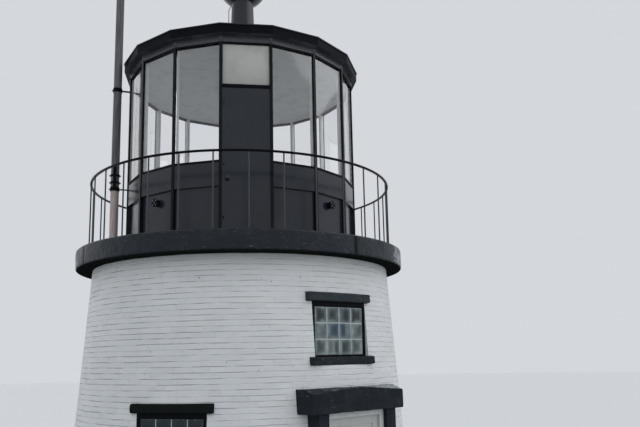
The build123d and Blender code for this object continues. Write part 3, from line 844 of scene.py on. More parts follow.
@dataclass
class BrickWall:
    """Painted brickwork in running bond on the battered wall."""

    openings: list[Opening]
    base_radius: float = 2.490
    top_radius: float = 2.190
    height: float = 4.080
    course: float = 0.068
    brick: float = 0.215
    joint: float = 0.0050
    edge: float = 0.006
    joint_share: float = 0.2
    edge_share: float = 0.42
    proud: float = 0.0048
    set_back: float = 0.0012
    valley: float = 0.0006
    head_joint: float = 0.0010
    uneven: float = 0.0009
    dented: float = 0.0005
    lean_along: float = 0.004
    lean_up: float = 0.020
    lowest: float = 0.0012
    highest: float = 0.0074
    bed_wave: float = 0.0026
    bond_spread: float = 0.4
    head_spread: float = 0.10
    least_open: float = 0.24
    head_dirt: float = 0.05
    bed_dirt: float = 0.74
    weather_dirt: float = 0.26
    weather_side: float = -115.0
    tone_mean: float = 0.02
    tone_spread: float = 0.05
    tone_limit: float = 0.2
    seam: float = -150.0
    shortest: float = 0.004
    limit: float = 2.4896

    def radius(self, height: np.ndarray) -> np.ndarray:
        """Outer radius of the wall at a height."""
        return self.base_radius - (self.base_radius - self.top_radius) * height / self.height

    def bond(self) -> np.ndarray:
        """Whole bricks, each as first and last azimuth, bottom and top.

        Returns:
            Rows of first and last azimuth, bottom and top.
        """
        courses = int(round(self.height / self.course))
        chance = np.random.default_rng(5)
        rows = []
        for number in range(courses):
            around_wall = 2 * np.pi * float(self.radius((number + 0.5) * self.course))
            count = int(round(around_wall / self.brick))
            start = self.seam + (number % 2) * 180.0 / count
            start += chance.uniform(-self.bond_spread, self.bond_spread)
            edges = start + np.arange(count + 1) * 360.0 / count
            edges = np.clip(edges, self.seam, self.seam + 360.0)
            edges[-1] = self.seam + 360.0
            edges[1:-1] += chance.uniform(-self.head_spread, self.head_spread, count - 1)
            edges = np.concatenate([[self.seam], edges]) if edges[0] > self.seam else edges
            row = np.zeros((len(edges) - 1, 4))
            row[:, 0], row[:, 1] = edges[:-1], edges[1:]
            row[:, 2], row[:, 3] = number * self.course, (number + 1) * self.course
            rows.append(row)
        return np.concatenate(rows)

    def cut(self, bricks: np.ndarray, hole: Opening) -> np.ndarray:
        """Cut an opening out of the bricks, which leaves what is left, right, under and over it.

        Args:
            bricks: Rows of first and last azimuth, bottom and top.
            hole: The opening.

        Returns:
            The remaining bricks.
        """
        radius = self.radius((bricks[:, 2] + bricks[:, 3]) / 2)
        half = np.degrees(np.arcsin(hole.half_width / radius))
        first, last = hole.azimuth - half, hole.azimuth + half
        hit = (
            (bricks[:, 1] > first)
            & (bricks[:, 0] < last)
            & (bricks[:, 3] > hole.bottom + 1e-6)
            & (bricks[:, 2] < hole.top - 1e-6)
        )
        touched, first, last = bricks[hit], first[hit], last[hit]
        left, right, under, over = (touched.copy() for _ in range(4))
        left[:, 1] = np.minimum(touched[:, 1], first)
        right[:, 0] = np.maximum(touched[:, 0], last)
        for part in (under, over):
            part[:, 0] = np.maximum(touched[:, 0], first)
            part[:, 1] = np.minimum(touched[:, 1], last)
        under[:, 3] = np.minimum(touched[:, 3], hole.bottom)
        over[:, 2] = np.maximum(touched[:, 2], hole.top)
        parts = np.concatenate([bricks[~hit], left, right, under, over])
        length = np.radians(parts[:, 1] - parts[:, 0]) * self.top_radius
        return parts[(length > self.shortest) & (parts[:, 3] - parts[:, 2] > self.shortest)]

    def pillows(self, bricks: np.ndarray) -> Sheet:
        """Each brick as a flat face with sloping edges, down to the middle of its joints.

        Args:
            bricks: Rows of first and last azimuth, bottom and top.

        Returns:
            The joined bricks.
        """
        chance = np.random.default_rng(9)
        count = len(bricks)
        left, right, bottom, top = bricks.T[:, :, None, None]
        radius = self.radius((bottom + top) / 2)
        length, height = np.radians(right - left) * radius, top - bottom
        across, up = self.steps(length, 2, 2), self.steps(height, 0, 1)
        shape = np.broadcast_shapes(across.shape, up.shape)
        azimuth = np.broadcast_to(left + np.degrees(across / radius), shape)
        share = up / height
        z = bottom + up + self.bed_shift(azimuth, bottom) * (1 - share)
        z = z + self.bed_shift(azimuth, top) * share

        rim_row, rim_column = (np.arange(size) % (size - 1) == 0 for size in shape[1:])
        rim_row = rim_row[:, None]
        rim_column = rim_column[None, :] & ~rim_row
        face = self.proud + chance.uniform(-self.uneven, self.uneven, (count, 1, 1))
        along, upwards = chance.normal(0, 1, (2, count, 1, 1))
        lift = face + chance.uniform(-self.dented, self.dented, shape)
        lift = lift + along * self.lean_along * (across - length / 2)
        lift = lift + upwards * self.lean_up * (up - height / 2)
        lift = np.clip(lift, self.lowest, self.highest)
        open_joint = self.open_joint(azimuth, np.where(share < 0.5, bottom, z))
        full = self.proud - self.set_back
        lift = np.where(rim_column, np.maximum(lift - self.head_joint, self.valley), lift)
        lift = np.where(rim_row, full - (full - self.valley) * open_joint, lift)
        distance = np.minimum(self.radius(z) + lift, self.limit)
        dirt = open_joint * self.dirt_share(azimuth) * rim_row + self.head_dirt * rim_column
        tone = chance.normal(self.tone_mean, self.tone_spread, (count, 1, 1))
        tone = np.clip(tone, 0.0, self.tone_limit)
        values = {"dirt": np.broadcast_to(dirt, shape), "tone": np.broadcast_to(tone, shape)}
        return grid_sheet(around(azimuth, distance, z), **values)

    def steps(self, size: np.ndarray, between: int, axis: int) -> np.ndarray:
        """Distances from one joint of each brick to the other, by way of its edges and face.

        Args:
            size: Sizes of the bricks, of length one on the axis of the steps.
            between: Points on the face between its two ends.
            axis: The axis of the steps.

        Returns:
            The distances.
        """
        joint = np.minimum(self.joint, size * self.joint_share)
        edge = np.minimum(self.joint + self.edge, size * self.edge_share)
        inner = [edge + (size - 2 * edge) * n / (between + 1) for n in range(between + 2)]
        return np.concatenate([size * 0, joint, *inner, size - joint, size], axis)

    def bed_shift(self, azimuth: np.ndarray, height: np.ndarray) -> np.ndarray:
        """Rise and fall of a bed joint by a smooth noise.

        Args:
            azimuth: Degrees from the door.
            height: Height of the joint.

        Returns:
            The shift upwards, none at an opening's edge and at the wall's foot and top.
        """
        course = height / self.course
        whole = (np.abs(course - np.round(course)) < 1e-6) & (course > 0.5)
        whole &= height < self.height - 0.001
        turn = azimuth / 360.0
        wave = smooth_noise(turn, np.round(course), 24, 51)
        wave = wave + smooth_noise(turn, course * 0.7, 80, 52)
        return np.where(whole, self.bed_wave * wave, 0.0)

    def open_joint(self, azimuth: np.ndarray, height: np.ndarray) -> np.ndarray:
        """How far the paint leaves a bed joint open: clipped noise along each course.

        Args:
            azimuth: Degrees from the door.
            height: Height above the ground.

        Returns:
            From 0, filled with paint, to 1, open.
        """
        turn = azimuth / 360.0
        course = np.round(height / self.course)
        along = smooth_noise(turn, course * 0.37, 75, 31) + 0.6 * smooth_noise(turn, course, 190, 7)
        return np.clip((along + 0.52) / 0.85, self.least_open, 1)

    def dirt_share(self, azimuth: np.ndarray) -> np.ndarray:
        """Dirt in open joints: a cosine of the azimuth, most on the weather side at the left."""
        return self.bed_dirt + self.weather_dirt * np.cos(np.radians(azimuth - self.weather_side))

    def build(self, finishes: Finishes) -> None:
        """Lay the bricks round the openings, in four pieces, over the painted wall.

        Args:
            finishes: The finishes.
        """
        finishes.dress("brick", *(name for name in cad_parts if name.startswith("wall_")))
        bricks = self.bond()
        for hole in self.openings:
            bricks = self.cut(bricks, hole)
        middle = (bricks[:, 0] + bricks[:, 1]) / 2
        quarters = {"front": (-45, 45), "right": (45, 120), "back": (120, 210), "left": (-150, -45)}
        for side, (first, last) in quarters.items():
            chosen = bricks[(middle >= first) & (middle < last)]
            make_piece(f"bricks_{side}", self.pillows(chosen), finishes["brick"])


@dataclass
class Gallery:
    """Stone slab with a rough, worn rim, and iron railing."""

    radius: float = 2.420
    bottom: float = 4.080
    top: float = 4.350
    edge_round: float = 0.024
    inset: float = 0.060
    columns: int = 1000
    proud: float = 0.005
    least_proud: float = 0.0006
    coarse: float = 0.0045
    fine: float = 0.0018
    chip_depth: float = 0.022
    seam_depth: float = 0.007
    worn_at: tuple[tuple[float, float, float], ...] = (
        (42.0, 18.0, 1.5), (-116.0, 15.0, 1.0), (120.0, 20.0, 0.6), (-165.0, 18.0, 0.6),
    )
    seams: tuple[tuple[float, float], ...] = (
        (1.3, 0.75), (-95.6, 0.80), (84.0, 0.6), (131.0, 0.4), (-148.0, 0.6),
    )

    def profile(self) -> np.ndarray:
        """Section of the rim, from under the slab round its two rounded edges to its top.

        Returns:
            Pairs of a distance and a height.
        """
        r, i, e = self.radius, self.inset, self.edge_round
        turn = np.linspace(0, np.pi / 2, 5)
        low = np.stack([r - e + e * np.sin(turn), self.bottom + e - e * np.cos(turn)], 1)
        high = np.stack([r - e + e * np.cos(turn), self.top - e + e * np.sin(turn)], 1)
        side = np.stack([np.full(12, r), np.linspace(low[-1, 1], high[0, 1], 14)[1:-1]], 1)
        start = np.array([[r - i, self.bottom + 0.003], [r - i / 2, self.bottom - 0.001]])
        end = np.array([[r - i / 2, self.top + 0.001], [r - i, self.top - 0.003]])
        return np.concatenate([start, low, side, high, end])

    def rim(self) -> Sheet:
        """Rough rim of the slab.

        The profile goes once round the tower. Its upright part stands 5 mm proud of the plain
        slab and is pushed in and out by noise. Where a coarse noise is high, the two edges are
        chipped. Wear is high round a few azimuths. Between the stones of the slab the rim sinks
        in a bell 7 mm deep, of each seam's own width in degrees, but never under the plain slab.

        Returns:
            The rim, with its wear and gap values.
        """
        profile = self.profile()
        out, up = profile[:, :1], profile[:, 1:]
        turn = np.arange(self.columns) / self.columns
        degrees = turn * 360.0
        u, v = np.meshgrid(turn, np.arange(len(profile)) * 0.0011)
        upright = np.clip((out - (self.radius - self.edge_round)) / self.edge_round, 0, 1)
        middle = (self.top + self.bottom) / 2
        edge = np.clip(np.abs(up - middle) / (self.top - middle) * 4 - 2.9, 0, 1)
        chips = np.clip(rough(u, v, 110, 4, 21) - 0.45, 0, 0.8) * self.chip_depth * edge
        relief = self.coarse * rough(u, v, 36, 5, 3) + self.fine * rough(u, v, 240, 3, 11)
        distance = out + (self.proud + relief - chips) * upright
        height = up + np.sign(middle - up) * chips * 0.5
        share = sum(strength * bell(degrees, at, width) for at, width, strength in self.worn_at)
        wear = np.clip(share * (0.8 + 0.6 * rough(u, v, 40, 3, 41)), 0, 1)
        wear = np.maximum(wear, chips * 25)
        gap = upright * np.max([bell(degrees, at, width) for at, width in self.seams], axis=0)
        distance = np.maximum(distance - self.seam_depth * gap, out + self.least_proud * upright)
        return grid_sheet(around(degrees, distance, height), wrap=True, wear=wear, gap=gap)

    def build(self, finishes: Finishes) -> None:
        """Lay the rim round the slab, and paint slab and railing.

        Args:
            finishes: The finishes.
        """
        finishes.dress("slab", "gallery_slab")
        finishes.dress("rail", "gallery_handrail")
        # The balusters take lighter paint than the rail: painted sheen.
        finishes.dress("baluster", "gallery_balusters")
        make_piece("slab_rim", self.rim(), finishes["slab"])


@dataclass
class WornStone:
    """A dressed stone block with rounded, chipped edges and an uneven face.

    The section's corners are pairs of a distance outwards and a height, counter-clockwise as
    seen from the block's right end. They may change along the block.
    """

    length: float
    rounding: float = 0.022
    relief: float = 0.007
    seed: int = 1
    steps: int = 96

    def run(self) -> tuple[np.ndarray, np.ndarray]:
        """Stations along the block and how far the section is drawn in at each.

        Returns:
            Distances along the block, and the inset: a quarter circle at each end.
        """
        bend = np.linspace(0, np.pi / 2, 5)
        half = self.length / 2
        end = half - self.rounding * (1 - np.sin(bend))
        inner = np.linspace(-end[0], end[0], self.steps)[1:-1]
        x = np.concatenate([-end[::-1], inner, end])
        drawn = self.rounding * (1 - np.cos(bend))
        return x, np.concatenate([drawn[::-1], np.zeros(len(inner)), drawn])

    def sheet(
        self, place: Place, corners: np.ndarray, weather: float | np.ndarray = 0.0
    ) -> Sheet:
        """Carry the rounded section along the block, roughen it and close both ends.

        Noise pushes each point along the line from the section's middle, and the upper side
        takes the wear value that the finish turns into bare weathered stone.

        Args:
            place: The plane that the block is set out from.
            corners: Array of stations, corners and two coordinates, at self.run()'s stations.
            weather: Wear of the upper side, one number or one for each station.

        Returns:
            The stone.
        """
        x, inset = self.run()
        middle = corners.mean(axis=1, keepdims=True)
        away = corners - middle
        scale = 1 - inset[:, None, None] / np.abs(away).max(axis=1, keepdims=True)
        outline = rounded(middle + away * scale, self.rounding)
        count = outline.shape[1]
        turn = np.broadcast_to(np.arange(count) / count, outline.shape[:2])
        along = np.broadcast_to(x[:, None] * 1.3 + 7.0, outline.shape[:2])
        push = self.relief * (0.6 * rough(turn, along, 8, 3, self.seed) - 0.6)
        spoke = outline - middle
        spoke = spoke / np.linalg.norm(spoke, axis=-1, keepdims=True)
        outline = outline + spoke * push[..., None]
        step = np.roll(outline, -1, axis=1) - np.roll(outline, 1, axis=1)
        facing_up = step[..., 0] / np.linalg.norm(step, axis=-1)
        wear = np.clip((facing_up - 0.55) * 4, 0, 1) * weather
        cap = middle + (outline - middle) * 0.5
        poles = middle[[0, -1]].repeat(count, axis=1)
        outline = np.concatenate([poles[:1], cap[:1], outline, cap[-1:], poles[1:]])
        wear = np.concatenate([wear[:1] * 0, wear[:1], wear, wear[-1:], wear[-1:] * 0])
        x = np.concatenate([x[:1], x[:1], x, x[-1:], x[-1:]])[:, None]
        x = np.broadcast_to(x, wear.shape)
        points = np.stack([x, outline[..., 1], outline[..., 0]], axis=-1)
        return grid_sheet(place.put(points), wrap=True, wear=wear)

    def bar(self, place: Place, height: float, depth: float) -> Sheet:
        """A stone of one plain section, whose front face lies on the plane.

        Args:
            place: The plane, with its origin in the middle of the front face.
            height: Size upwards.
            depth: Size inwards.

        Returns:
            The stone.
        """
        low, high = -height / 2, height / 2
        section = np.array([[-depth, low], [-depth, high], [0.0, high], [0.0, low]])
        stations = len(self.run()[0])
        return self.sheet(place, np.broadcast_to(section, (stations, 4, 2)))


@dataclass
class Windows:
    """Glass-block windows with their stones."""

    block: float = 0.203
    across: int = 4
    high: int = 3
    joint: float = 0.010
    foot: float = 0.016
    height: float = 0.687
    recess: float = 0.065
    thickness: float = 0.098
    mortar_back: float = 0.006
    glass_half: float = 0.450
    fall: float = 0.010
    hollow: float = 0.002
    flute: float = 0.0008
    lintel: tuple[float, float, float] = (1.058, 0.114, 0.200)
    sill: tuple[float, float, float] = (1.050, 0.103, 0.220)
    proud: float = 0.016
    # Azimuth, sill top and painted light of each window: the upper windows carry full painted light,
    # the lower ones nearly none.
    places: tuple[tuple[float, float, float], ...] = (
        (-1.5, 2.809, 1.0), (-56.6, 1.502, 0.07), (178.5, 2.809, 1.0), (123.4, 1.502, 0.07),
    )

    def openings(self) -> list[Opening]:
        """Sill, glass and lintel of each window, as rectangles without bricks.

        Returns:
            The rectangles.
        """
        holes = []
        for azimuth, sill_top, _ in self.places:
            head = sill_top + self.height
            holes += [
                Opening(azimuth, self.sill[0] / 2, sill_top - self.sill[1], sill_top),
                Opening(azimuth, self.glass_half, sill_top, head),
                Opening(azimuth, self.lintel[0] / 2, head, head + self.lintel[1]),
            ]
        return holes

    def block_faces(self, place: Place, light: float, turned_round: bool) -> Sheet:
        """Faces of one window's blocks.

        At s across and t up a face, both from -1 to 1, a narrow border falls back towards the
        joint, and inside it a shallow field carries upright flutes: a cosine of five waves. The
        streak value is painted light: pale at the borders, in soft upright bands whose places
        differ by block, and paler towards the lower rows. The sky value is a painted sky
        reflection, a bell over the middle blocks.

        Args:
            place: Plane of the faces.
            light: Strength of the painted light and painted sky reflection, from 0 to 1.
            turned_round: True for the faces towards the room.

        Returns:
            The faces.
        """
        border = np.array([-1.0, -0.985, -0.95, -0.90, -0.84, -0.76])
        s = np.concatenate([border, np.linspace(-0.68, 0.68, 27), -border[::-1]])
        t = np.concatenate([border, np.linspace(-0.5, 0.5, 3), -border[::-1]])
        s, t = np.meshgrid(s, t)
        rim = np.maximum(np.abs(s), np.abs(t))
        field = np.clip((0.86 - rim) / 0.10, 0, 1)
        relief = -self.fall * np.clip((rim - 0.95) / 0.05, 0, 1) ** 2
        relief = relief + (self.flute * np.cos(s * np.pi * 5) - self.hollow) * field
        half = (self.block - self.joint) / 2
        column, row = np.meshgrid(np.arange(self.across), np.arange(self.high))
        column, row = column.reshape(-1, 1, 1), row.reshape(-1, 1, 1)
        x = (column - (self.across - 1) / 2) * self.block + s * half
        y = self.foot + (row + 0.5) * self.block + t * half
        z = np.broadcast_to(relief, x.shape)
        # Painted light: pale bands and borders for light through the glass, and a painted sky
        # reflection over the middle blocks, both scaled by light.
        bands = 0.5 + 0.5 * smooth_noise((s + 1) * 0.4 + column * 0.37, row + 0.15 * t, 4, 71)
        pale = -0.25 + 0.80 * bands + 0.34 * np.clip((rim - 0.40) / 0.4, 0, 1)
        pale = pale + 0.12 * (1 - row) * (1 - t) / 2 + 0.6 * np.clip((rim - 0.90) / 0.05, 0, 1)
        pale = np.clip(pale, 0.04, 1.0) * light
        sky = 0.75 * light * np.exp(-((row - 1.0) ** 2) * 1.6 - ((column - 1.5) / 1.1) ** 2)
        sky = sky * np.clip(1.1 - bands, 0, 1)
        pale, sky = np.broadcast_to(pale, x.shape), np.broadcast_to(sky, x.shape)
        if turned_round:
            x, y, z = x[..., ::-1], y[..., ::-1], -self.thickness - z[..., ::-1]
            pale, sky = pale[..., ::-1], sky[..., ::-1]
        return grid_sheet(place.put(np.stack([x, y, z], axis=-1)), streak=pale, sky=sky)

    def mortar(self, place: Place) -> Sheet:
        """Mortar between the blocks: one plate behind the glass faces, up to the outer blocks.

        Args:
            place: Plane of the outer glass faces.

        Returns:
            The plate.
        """
        width = self.across * self.block - self.joint
        height = self.high * self.block - self.joint
        back = Place(
            place.azimuth,
            place.distance - self.thickness + self.mortar_back,
            place.height + self.foot + self.high * self.block / 2,
        )
        thickness = self.thickness - 2 * self.mortar_back
        return join([back.sheet(grid) for grid in plate(width, height, thickness, bevel=0.001)])

    def build(self, finishes: Finishes, wall: BrickWall) -> None:
        """Build glass faces, mortar, lintels and sills of all windows.

        Args:
            finishes: The finishes.
            wall: The wall that they stand in.
        """
        finishes.dress("eave", "window_frames")
        glass, mortar, lintels, sills = [], [], [], []
        for number, (azimuth, sill_top, light) in enumerate(self.places):
            front = float(wall.radius(sill_top + self.height / 2)) - self.recess
            place = Place(azimuth, front, sill_top)
            glass += [self.block_faces(place, light, turned) for turned in (False, True)]
            mortar.append(self.mortar(place))
            for size, middle, stones in (
                (self.lintel, sill_top + self.height + self.lintel[1] / 2, lintels),
                (self.sill, sill_top - self.sill[1] / 2, sills),
            ):
                length, height, depth = size
                face = Place(azimuth, float(wall.radius(middle)) + self.proud, middle)
                stones.append(WornStone(length, seed=60 + 10 * number).bar(face, height, depth))
        faces = make_piece("glass_block_faces", join(glass), finishes["block"])
        make_piece("glass_block_joints", join(mortar), finishes["mortar"])
        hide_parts("window_glass_blocks")
        lintels, sills = join(lintels), join(sills)
        stones = make_piece("worn_lintels", lintels, finishes["lintel"], weld=True)
        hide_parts("window_lintels")
        stones = make_piece("worn_sills", sills, finishes["sill"], weld=True)
        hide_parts("window_sills")


@dataclass
class Doorway:
    """Ground door with its stone surround and the floor behind it."""

    jamb_half: float = 0.660
    half_width: float = 0.782
    bottom: float = 2.143
    bricks_from: float = 2.425
    back: float = 2.100
    front: float = 2.4855
    back_height: float = 0.296
    proud: float = 0.004
    edge_relief: float = 0.004
    top_stations: tuple[float, ...] = (-0.782, -0.60, -0.486, -0.35, -0.228, 0.03, 0.20, 0.782)
    top_heights: tuple[float, ...] = (0.238, 0.246, 0.262, 0.266, 0.282, 0.292, 0.284, 0.240)
    weather_stations: tuple[float, ...] = (-0.78, 0.0, 0.45, 0.78)
    weather: tuple[float, ...] = (0.25, 0.55, 1.0, 1.0)

    def openings(self) -> list[Opening]:
        """The door with its jambs and the hood, as rectangles without bricks."""
        door = Opening(0.0, self.jamb_half, 0.0, self.bottom)
        return [door, Opening(0.0, self.half_width, self.bottom, self.bricks_from)]

    def hood(self, wall: BrickWall) -> Sheet:
        """Hood stone: a five-sided section, whose front upper edge is worn down along its length.

        Args:
            wall: The wall that it stands in.

        Returns:
            The stone.
        """
        stone = WornStone(2 * self.half_width, rounding=0.009, relief=0.006, seed=17, steps=150)
        x = stone.run()[0]
        top = self.bottom + self.back_height
        front_top = self.bottom + np.interp(x, self.top_stations, self.top_heights)
        front_top += self.edge_relief * rough(x * 0.5 + 3, x * 0, 16, 3, 23)
        corners = (
            (self.back, self.bottom),
            (self.back, top),
            (float(wall.radius(top)) + self.proud, top),
            (self.front, front_top),
            (self.front, self.bottom),
        )
        full = np.ones_like(x)
        section = np.stack([np.stack([out * full, up * full], 1) for out, up in corners], axis=1)
        weather = np.interp(x, self.weather_stations, self.weather)
        return stone.sheet(Place(0.0, 0.0, 0.0), section, weather[:, None])

    def build(self, finishes: Finishes, wall: BrickWall) -> None:
        """Lay the hood over the door, and dress the stones, the frame and the leaf.

        Args:
            finishes: The finishes.
            wall: The wall that they stand in.
        """
        finishes.dress("floor", "ground_floor")
        finishes.dress("jamb", "door_jambs", "door_threshold")
        finishes.dress("trim", "door_frame")
        finishes.dress("leaf", "door_leaf")
        finishes.dress("metal", "door_hinges")
        finishes.dress("brass", "door_knobs")
        hood = make_piece("worn_hood", self.hood(wall), finishes["stone"], weld=True)
        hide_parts("door_hood")


@dataclass
class Lantern:
    """Sixteen-sided iron lantern with its gallery door, roof, ventilator and mast."""

    deck: float = 4.350
    sides: int = 16
    radius: float = 1.719
    post_depth: float = 0.062
    head_foot: float = 2.706
    head_top: float = 2.800
    strip_half: float = 0.024
    strip_face: float = 0.0042
    head_bolt: tuple[float, float] = (0.0095, 0.007)
    head_bolt_inset: float = 0.020
    door_azimuth: float = -33.75
    door_face: float = 0.016
    hinge_x: float = -0.296
    hinge_heights: tuple[float, ...] = (0.300, 1.020, 1.860)
    knob_x: float = -0.245
    knob_height: float = 0.800
    knob: tuple[tuple[float, float], ...] = (
        (0.034, 0.0), (0.034, 0.004), (0.010, 0.006), (0.010, 0.030), (0.026, 0.036),
        (0.030, 0.048), (0.024, 0.060), (0.0, 0.064),
    )
    board_width: float = 0.626
    board_foot: float = 2.104
    board_top: float = 2.678
    board_back: float = 0.0045
    vent_azimuths: tuple[float, ...] = (11.25, 101.25, 191.25, 281.25)
    vent_face: float = 1.735
    vent_height: float = 0.565
    stud: tuple[float, float] = (0.007, 0.006)
    stud_spacing: float = 0.030

    def flat(self) -> float:
        """Distance of the sides from the axis."""
        return self.radius * float(np.cos(np.pi / self.sides))

    def corner_strips(self) -> Sheet:
        """Cover strips bent over the joints of the head plates, with a bolt near each end.

        A point at s along the strip from the corner lies s times the sine of half a side's turn
        behind the corner.

        Returns:
            Strips and bolts.
        """
        half_turn = np.pi / self.sides
        corner = (self.flat() + self.post_depth / 2) / np.cos(half_turn)
        s = np.array([-1.0, -1.0, -0.85, 0.0, 0.85, 1.0, 1.0]) * self.strip_half
        behind = np.abs(s) * np.sin(half_turn)
        lift = np.array([-0.002, 0.003, *[self.strip_face] * 3, 0.003, -0.002]) - behind
        rows = (self.head_foot + 0.003, self.head_foot + 0.004, self.head_top - 0.004)
        x, y = np.meshgrid(s * np.cos(half_turn), rows)
        strip = np.stack([x, y, np.stack([-behind - 0.002, lift, lift])], axis=-1)
        bolt, inset = turned(bolt_head(*self.head_bolt)), self.head_bolt_inset
        sheets = []
        for number in range(self.sides):
            place = Place(number * 360.0 / self.sides, corner, self.deck)
            sheets.append(place.sheet(strip))
            for height in (self.head_foot + inset, self.head_top - inset):
                sheets.append(place.sheet(bolt + np.array([0.0, height, 0.0035]), wrap=True))
        return join(sheets)

    def door_fittings(self) -> Sheet:
        """Gallery door's hinge barrels on its left edge and its round knob on a plate.

        Returns:
            The fittings.
        """
        face = Place(self.door_azimuth, self.flat() + self.door_face, self.deck)
        barrel = turned([(0.0, -0.045), (0.009, -0.045), (0.009, 0.045), (0.0, 0.045)])
        barrel = barrel[..., [0, 2, 1]] * np.array([1.0, 1.0, -1.0])
        parts = [barrel + np.array([self.hinge_x, y, 0.006]) for y in self.hinge_heights]
        parts.append(turned(self.knob, 20) + np.array([self.knob_x, self.knob_height, 0.0]))
        return join([face.sheet(part, wrap=True) for part in parts])

    def over_door(self) -> Sheet:
        """Painted board that closes the pane over the gallery door.

        Returns:
            The board.
        """
        middle = self.deck + (self.board_top + self.board_foot) / 2
        place = Place(self.door_azimuth, self.flat() + self.board_back, middle)
        board = plate(self.board_width, self.board_top - self.board_foot, 0.006, bevel=0.002)
        return join([place.sheet(grid) for grid in board])

    def vent_studs(self) -> Sheet:
        """Bolt heads on the round ventilators: four in a square and one in the middle of each.

        Returns:
            The studs.
        """
        bolt = turned(bolt_head(*self.stud))
        sheets = []
        for azimuth in self.vent_azimuths:
            cover = Place(azimuth, self.vent_face, self.deck + self.vent_height)
            for x, y in ((0, 0), (-1, -1), (1, -1), (1, 1), (-1, 1)):
                shift = np.array([x * self.stud_spacing, y * self.stud_spacing, -0.0005])
                sheets.append(cover.sheet(bolt + shift, wrap=True))
        return join(sheets)

    def build(self, finishes: Finishes) -> None:
        """Paint the iron, glaze the sides and fit the small pieces.

        Args:
            finishes: The finishes.
        """
        finishes.dress("iron", "lantern_lower_panels", "lantern_band", "lantern_door")
        finishes.dress("iron", "lantern_roof", "vent_stack", "vent_ball", "spindle")
        # The head finish is lighter iron paint, painted light under the eave.
        finishes.dress("head", "lantern_head")
        finishes.dress("eave", "lantern_vents", "lantern_glazing_bars", "lantern_sill")
        finishes.dress("eave", "mast_brackets")
        # The eave takes black paint with a lighter soffit, which is painted light.
        finishes.dress("soffit", "lantern_eave")
        finishes.dress("post", "lantern_posts")
        finishes.dress("ceiling", "lantern_ceiling")
        finishes.dress("pane", "lantern_glass")
        finishes.dress("mast", "mast")
        finishes.dress("metal", "stack_pipe")
        make_piece("head_strips_painted_light", self.corner_strips(), finishes["head"])
        fittings = self.door_fittings()
        make_piece("gallery_door_fittings", fittings, finishes["iron"], weld=True)
        make_piece("over_door_board", self.over_door(), finishes["board"])
        make_piece("vent_studs", self.vent_studs(), finishes["metal"], weld=True)


# ---- Camera, floor and light


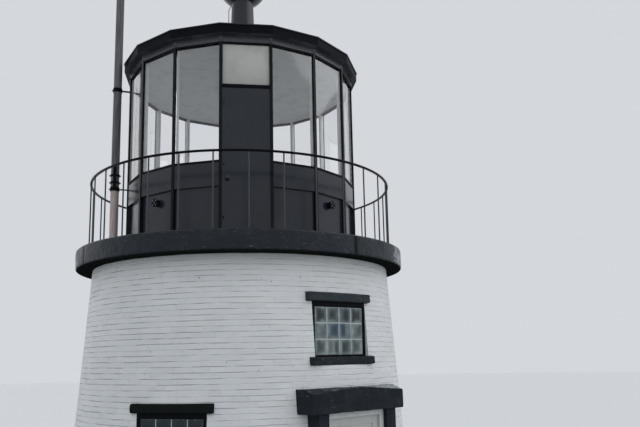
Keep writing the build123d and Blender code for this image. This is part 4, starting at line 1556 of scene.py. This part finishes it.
@dataclass
class Studio:
    """Camera at the photograph's view, a plain floor and soft light."""

    place: tuple[float, float, float] = (-5.968, -8.429, 2.816)
    bearing: float = 35.3
    yaw: float = 6.658
    pitch: float = 9.384
    roll: float = -1.156
    lens: float = 37.712
    shift: float = 0.050
    sky: Colour = (0.66, 0.68, 0.715)
    light: Colour = (0.93, 0.96, 1.0)
    floor_colour: Colour = (0.60, 0.61, 0.62)
    floor_bounce: Colour = (0.37, 0.38, 0.38)
    light_strength: float = 0.97
    lamps: tuple[tuple[str, float, float, float], ...] = (
        ("soft_sun", 0.53, 43.0, 37.0), ("low_fill", 0.15, -174.0, 14.0),
    )
    softness: float = 50.0

    def camera(self) -> None:
        """Point the camera: yaw and pitch turn the view's direction, roll turns the image."""
        yaw, pitch, roll = np.radians([self.yaw + self.bearing, self.pitch, self.roll])
        level_share = np.cos(pitch)
        forward = np.array([np.sin(yaw) * level_share, np.cos(yaw) * level_share, np.sin(pitch)])
        level = np.array([np.cos(yaw), -np.sin(yaw), 0.0])
        upright = np.cross(level, forward)
        right = level * np.cos(roll) + upright * np.sin(roll)
        up = -level * np.sin(roll) + upright * np.cos(roll)
        data = bpy.data.cameras.new("camera")
        data.lens, data.sensor_width, data.sensor_fit = self.lens, 36.0, "HORIZONTAL"
        data.shift_y = self.shift
        camera = bpy.data.objects.new("camera", data)
        turn = Matrix((tuple(right), tuple(up), tuple(-forward))).transposed().to_4x4()
        turn.translation = self.place
        camera.matrix_world = turn
        bpy.context.scene.collection.objects.link(camera)
        bpy.context.scene.camera = camera

    def floor(self) -> None:
        """Lay a plain round floor, closed by rings out to a wide radius."""
        rings = np.array([0.0, 2.0, 4.0, 8.0, 16.0, 40.0, 90.0])
        grid = around(np.linspace(0, 360, 97)[None, :-1], rings[::-1, None], -0.001)
        sheet = grid_sheet(grid, wrap=True)
        mesh = bpy.data.meshes.new("floor")
        mesh.from_pydata(sheet.points.tolist(), [], sheet.faces.tolist())
        shader = Shader("floor_paint")
        colour = shader.mix(shader.shown(), self.floor_bounce, self.floor_colour)
        mesh.materials.append(shader.finish(colour, 0.9))
        floor = bpy.data.objects.new("floor", mesh)
        bpy.context.scene.collection.objects.link(floor)

    def world(self) -> None:
        """Light the object from an even sky, and show a plain pale one behind it."""
        world = bpy.data.worlds.new("sky")
        bpy.context.scene.world = world
        world.use_nodes = True
        nodes = Nodes(world.node_tree)
        light = nodes.node("Background", {"Color": self.light, "Strength": self.light_strength})
        shown = nodes.node("Background", {"Color": self.sky, "Strength": 1.0})
        both = nodes.blend(nodes.shown(), light.outputs[0], shown.outputs[0])
        nodes.node("OutputWorld", {"Surface": both})

    def lamp(self, name: str, strength: float, azimuth: float, elevation: float) -> None:
        """Hang a broad soft sun.

        Args:
            name: Name of the lamp.
            strength: Its strength.
            azimuth: Degrees from the door, where it stands.
            elevation: Its height over the horizon in degrees.
        """
        data = bpy.data.lights.new(name, "SUN")
        data.energy = strength
        data.angle = np.radians(self.softness)
        lamp = bpy.data.objects.new(name, data)
        tilt = Matrix.Rotation(np.radians(90 - elevation), 4, "X")
        lamp.matrix_world = Matrix.Rotation(np.radians(azimuth), 4, "Z") @ tilt
        bpy.context.scene.collection.objects.link(lamp)

    def build(self) -> None:
        """Set up camera, floor, sky and lamps."""
        self.camera()
        self.floor()
        self.world()
        for lamp in self.lamps:
            self.lamp(*lamp)
        bpy.context.scene.view_settings.view_transform = "Standard"


def main() -> None:
    """Dress the lighthouse from the ground up and set up the studio."""
    logging.basicConfig(level=logging.INFO, format="%(message)s")
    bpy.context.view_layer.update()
    Studio().build()
    finishes = Finishes()
    doorway, windows = Doorway(), Windows()
    wall = BrickWall([*doorway.openings(), *windows.openings()])
    wall.build(finishes)
    doorway.build(finishes, wall)
    windows.build(finishes, wall)
    Gallery().build(finishes)
    Lantern().build(finishes)


if __name__ == "__main__":
    main()
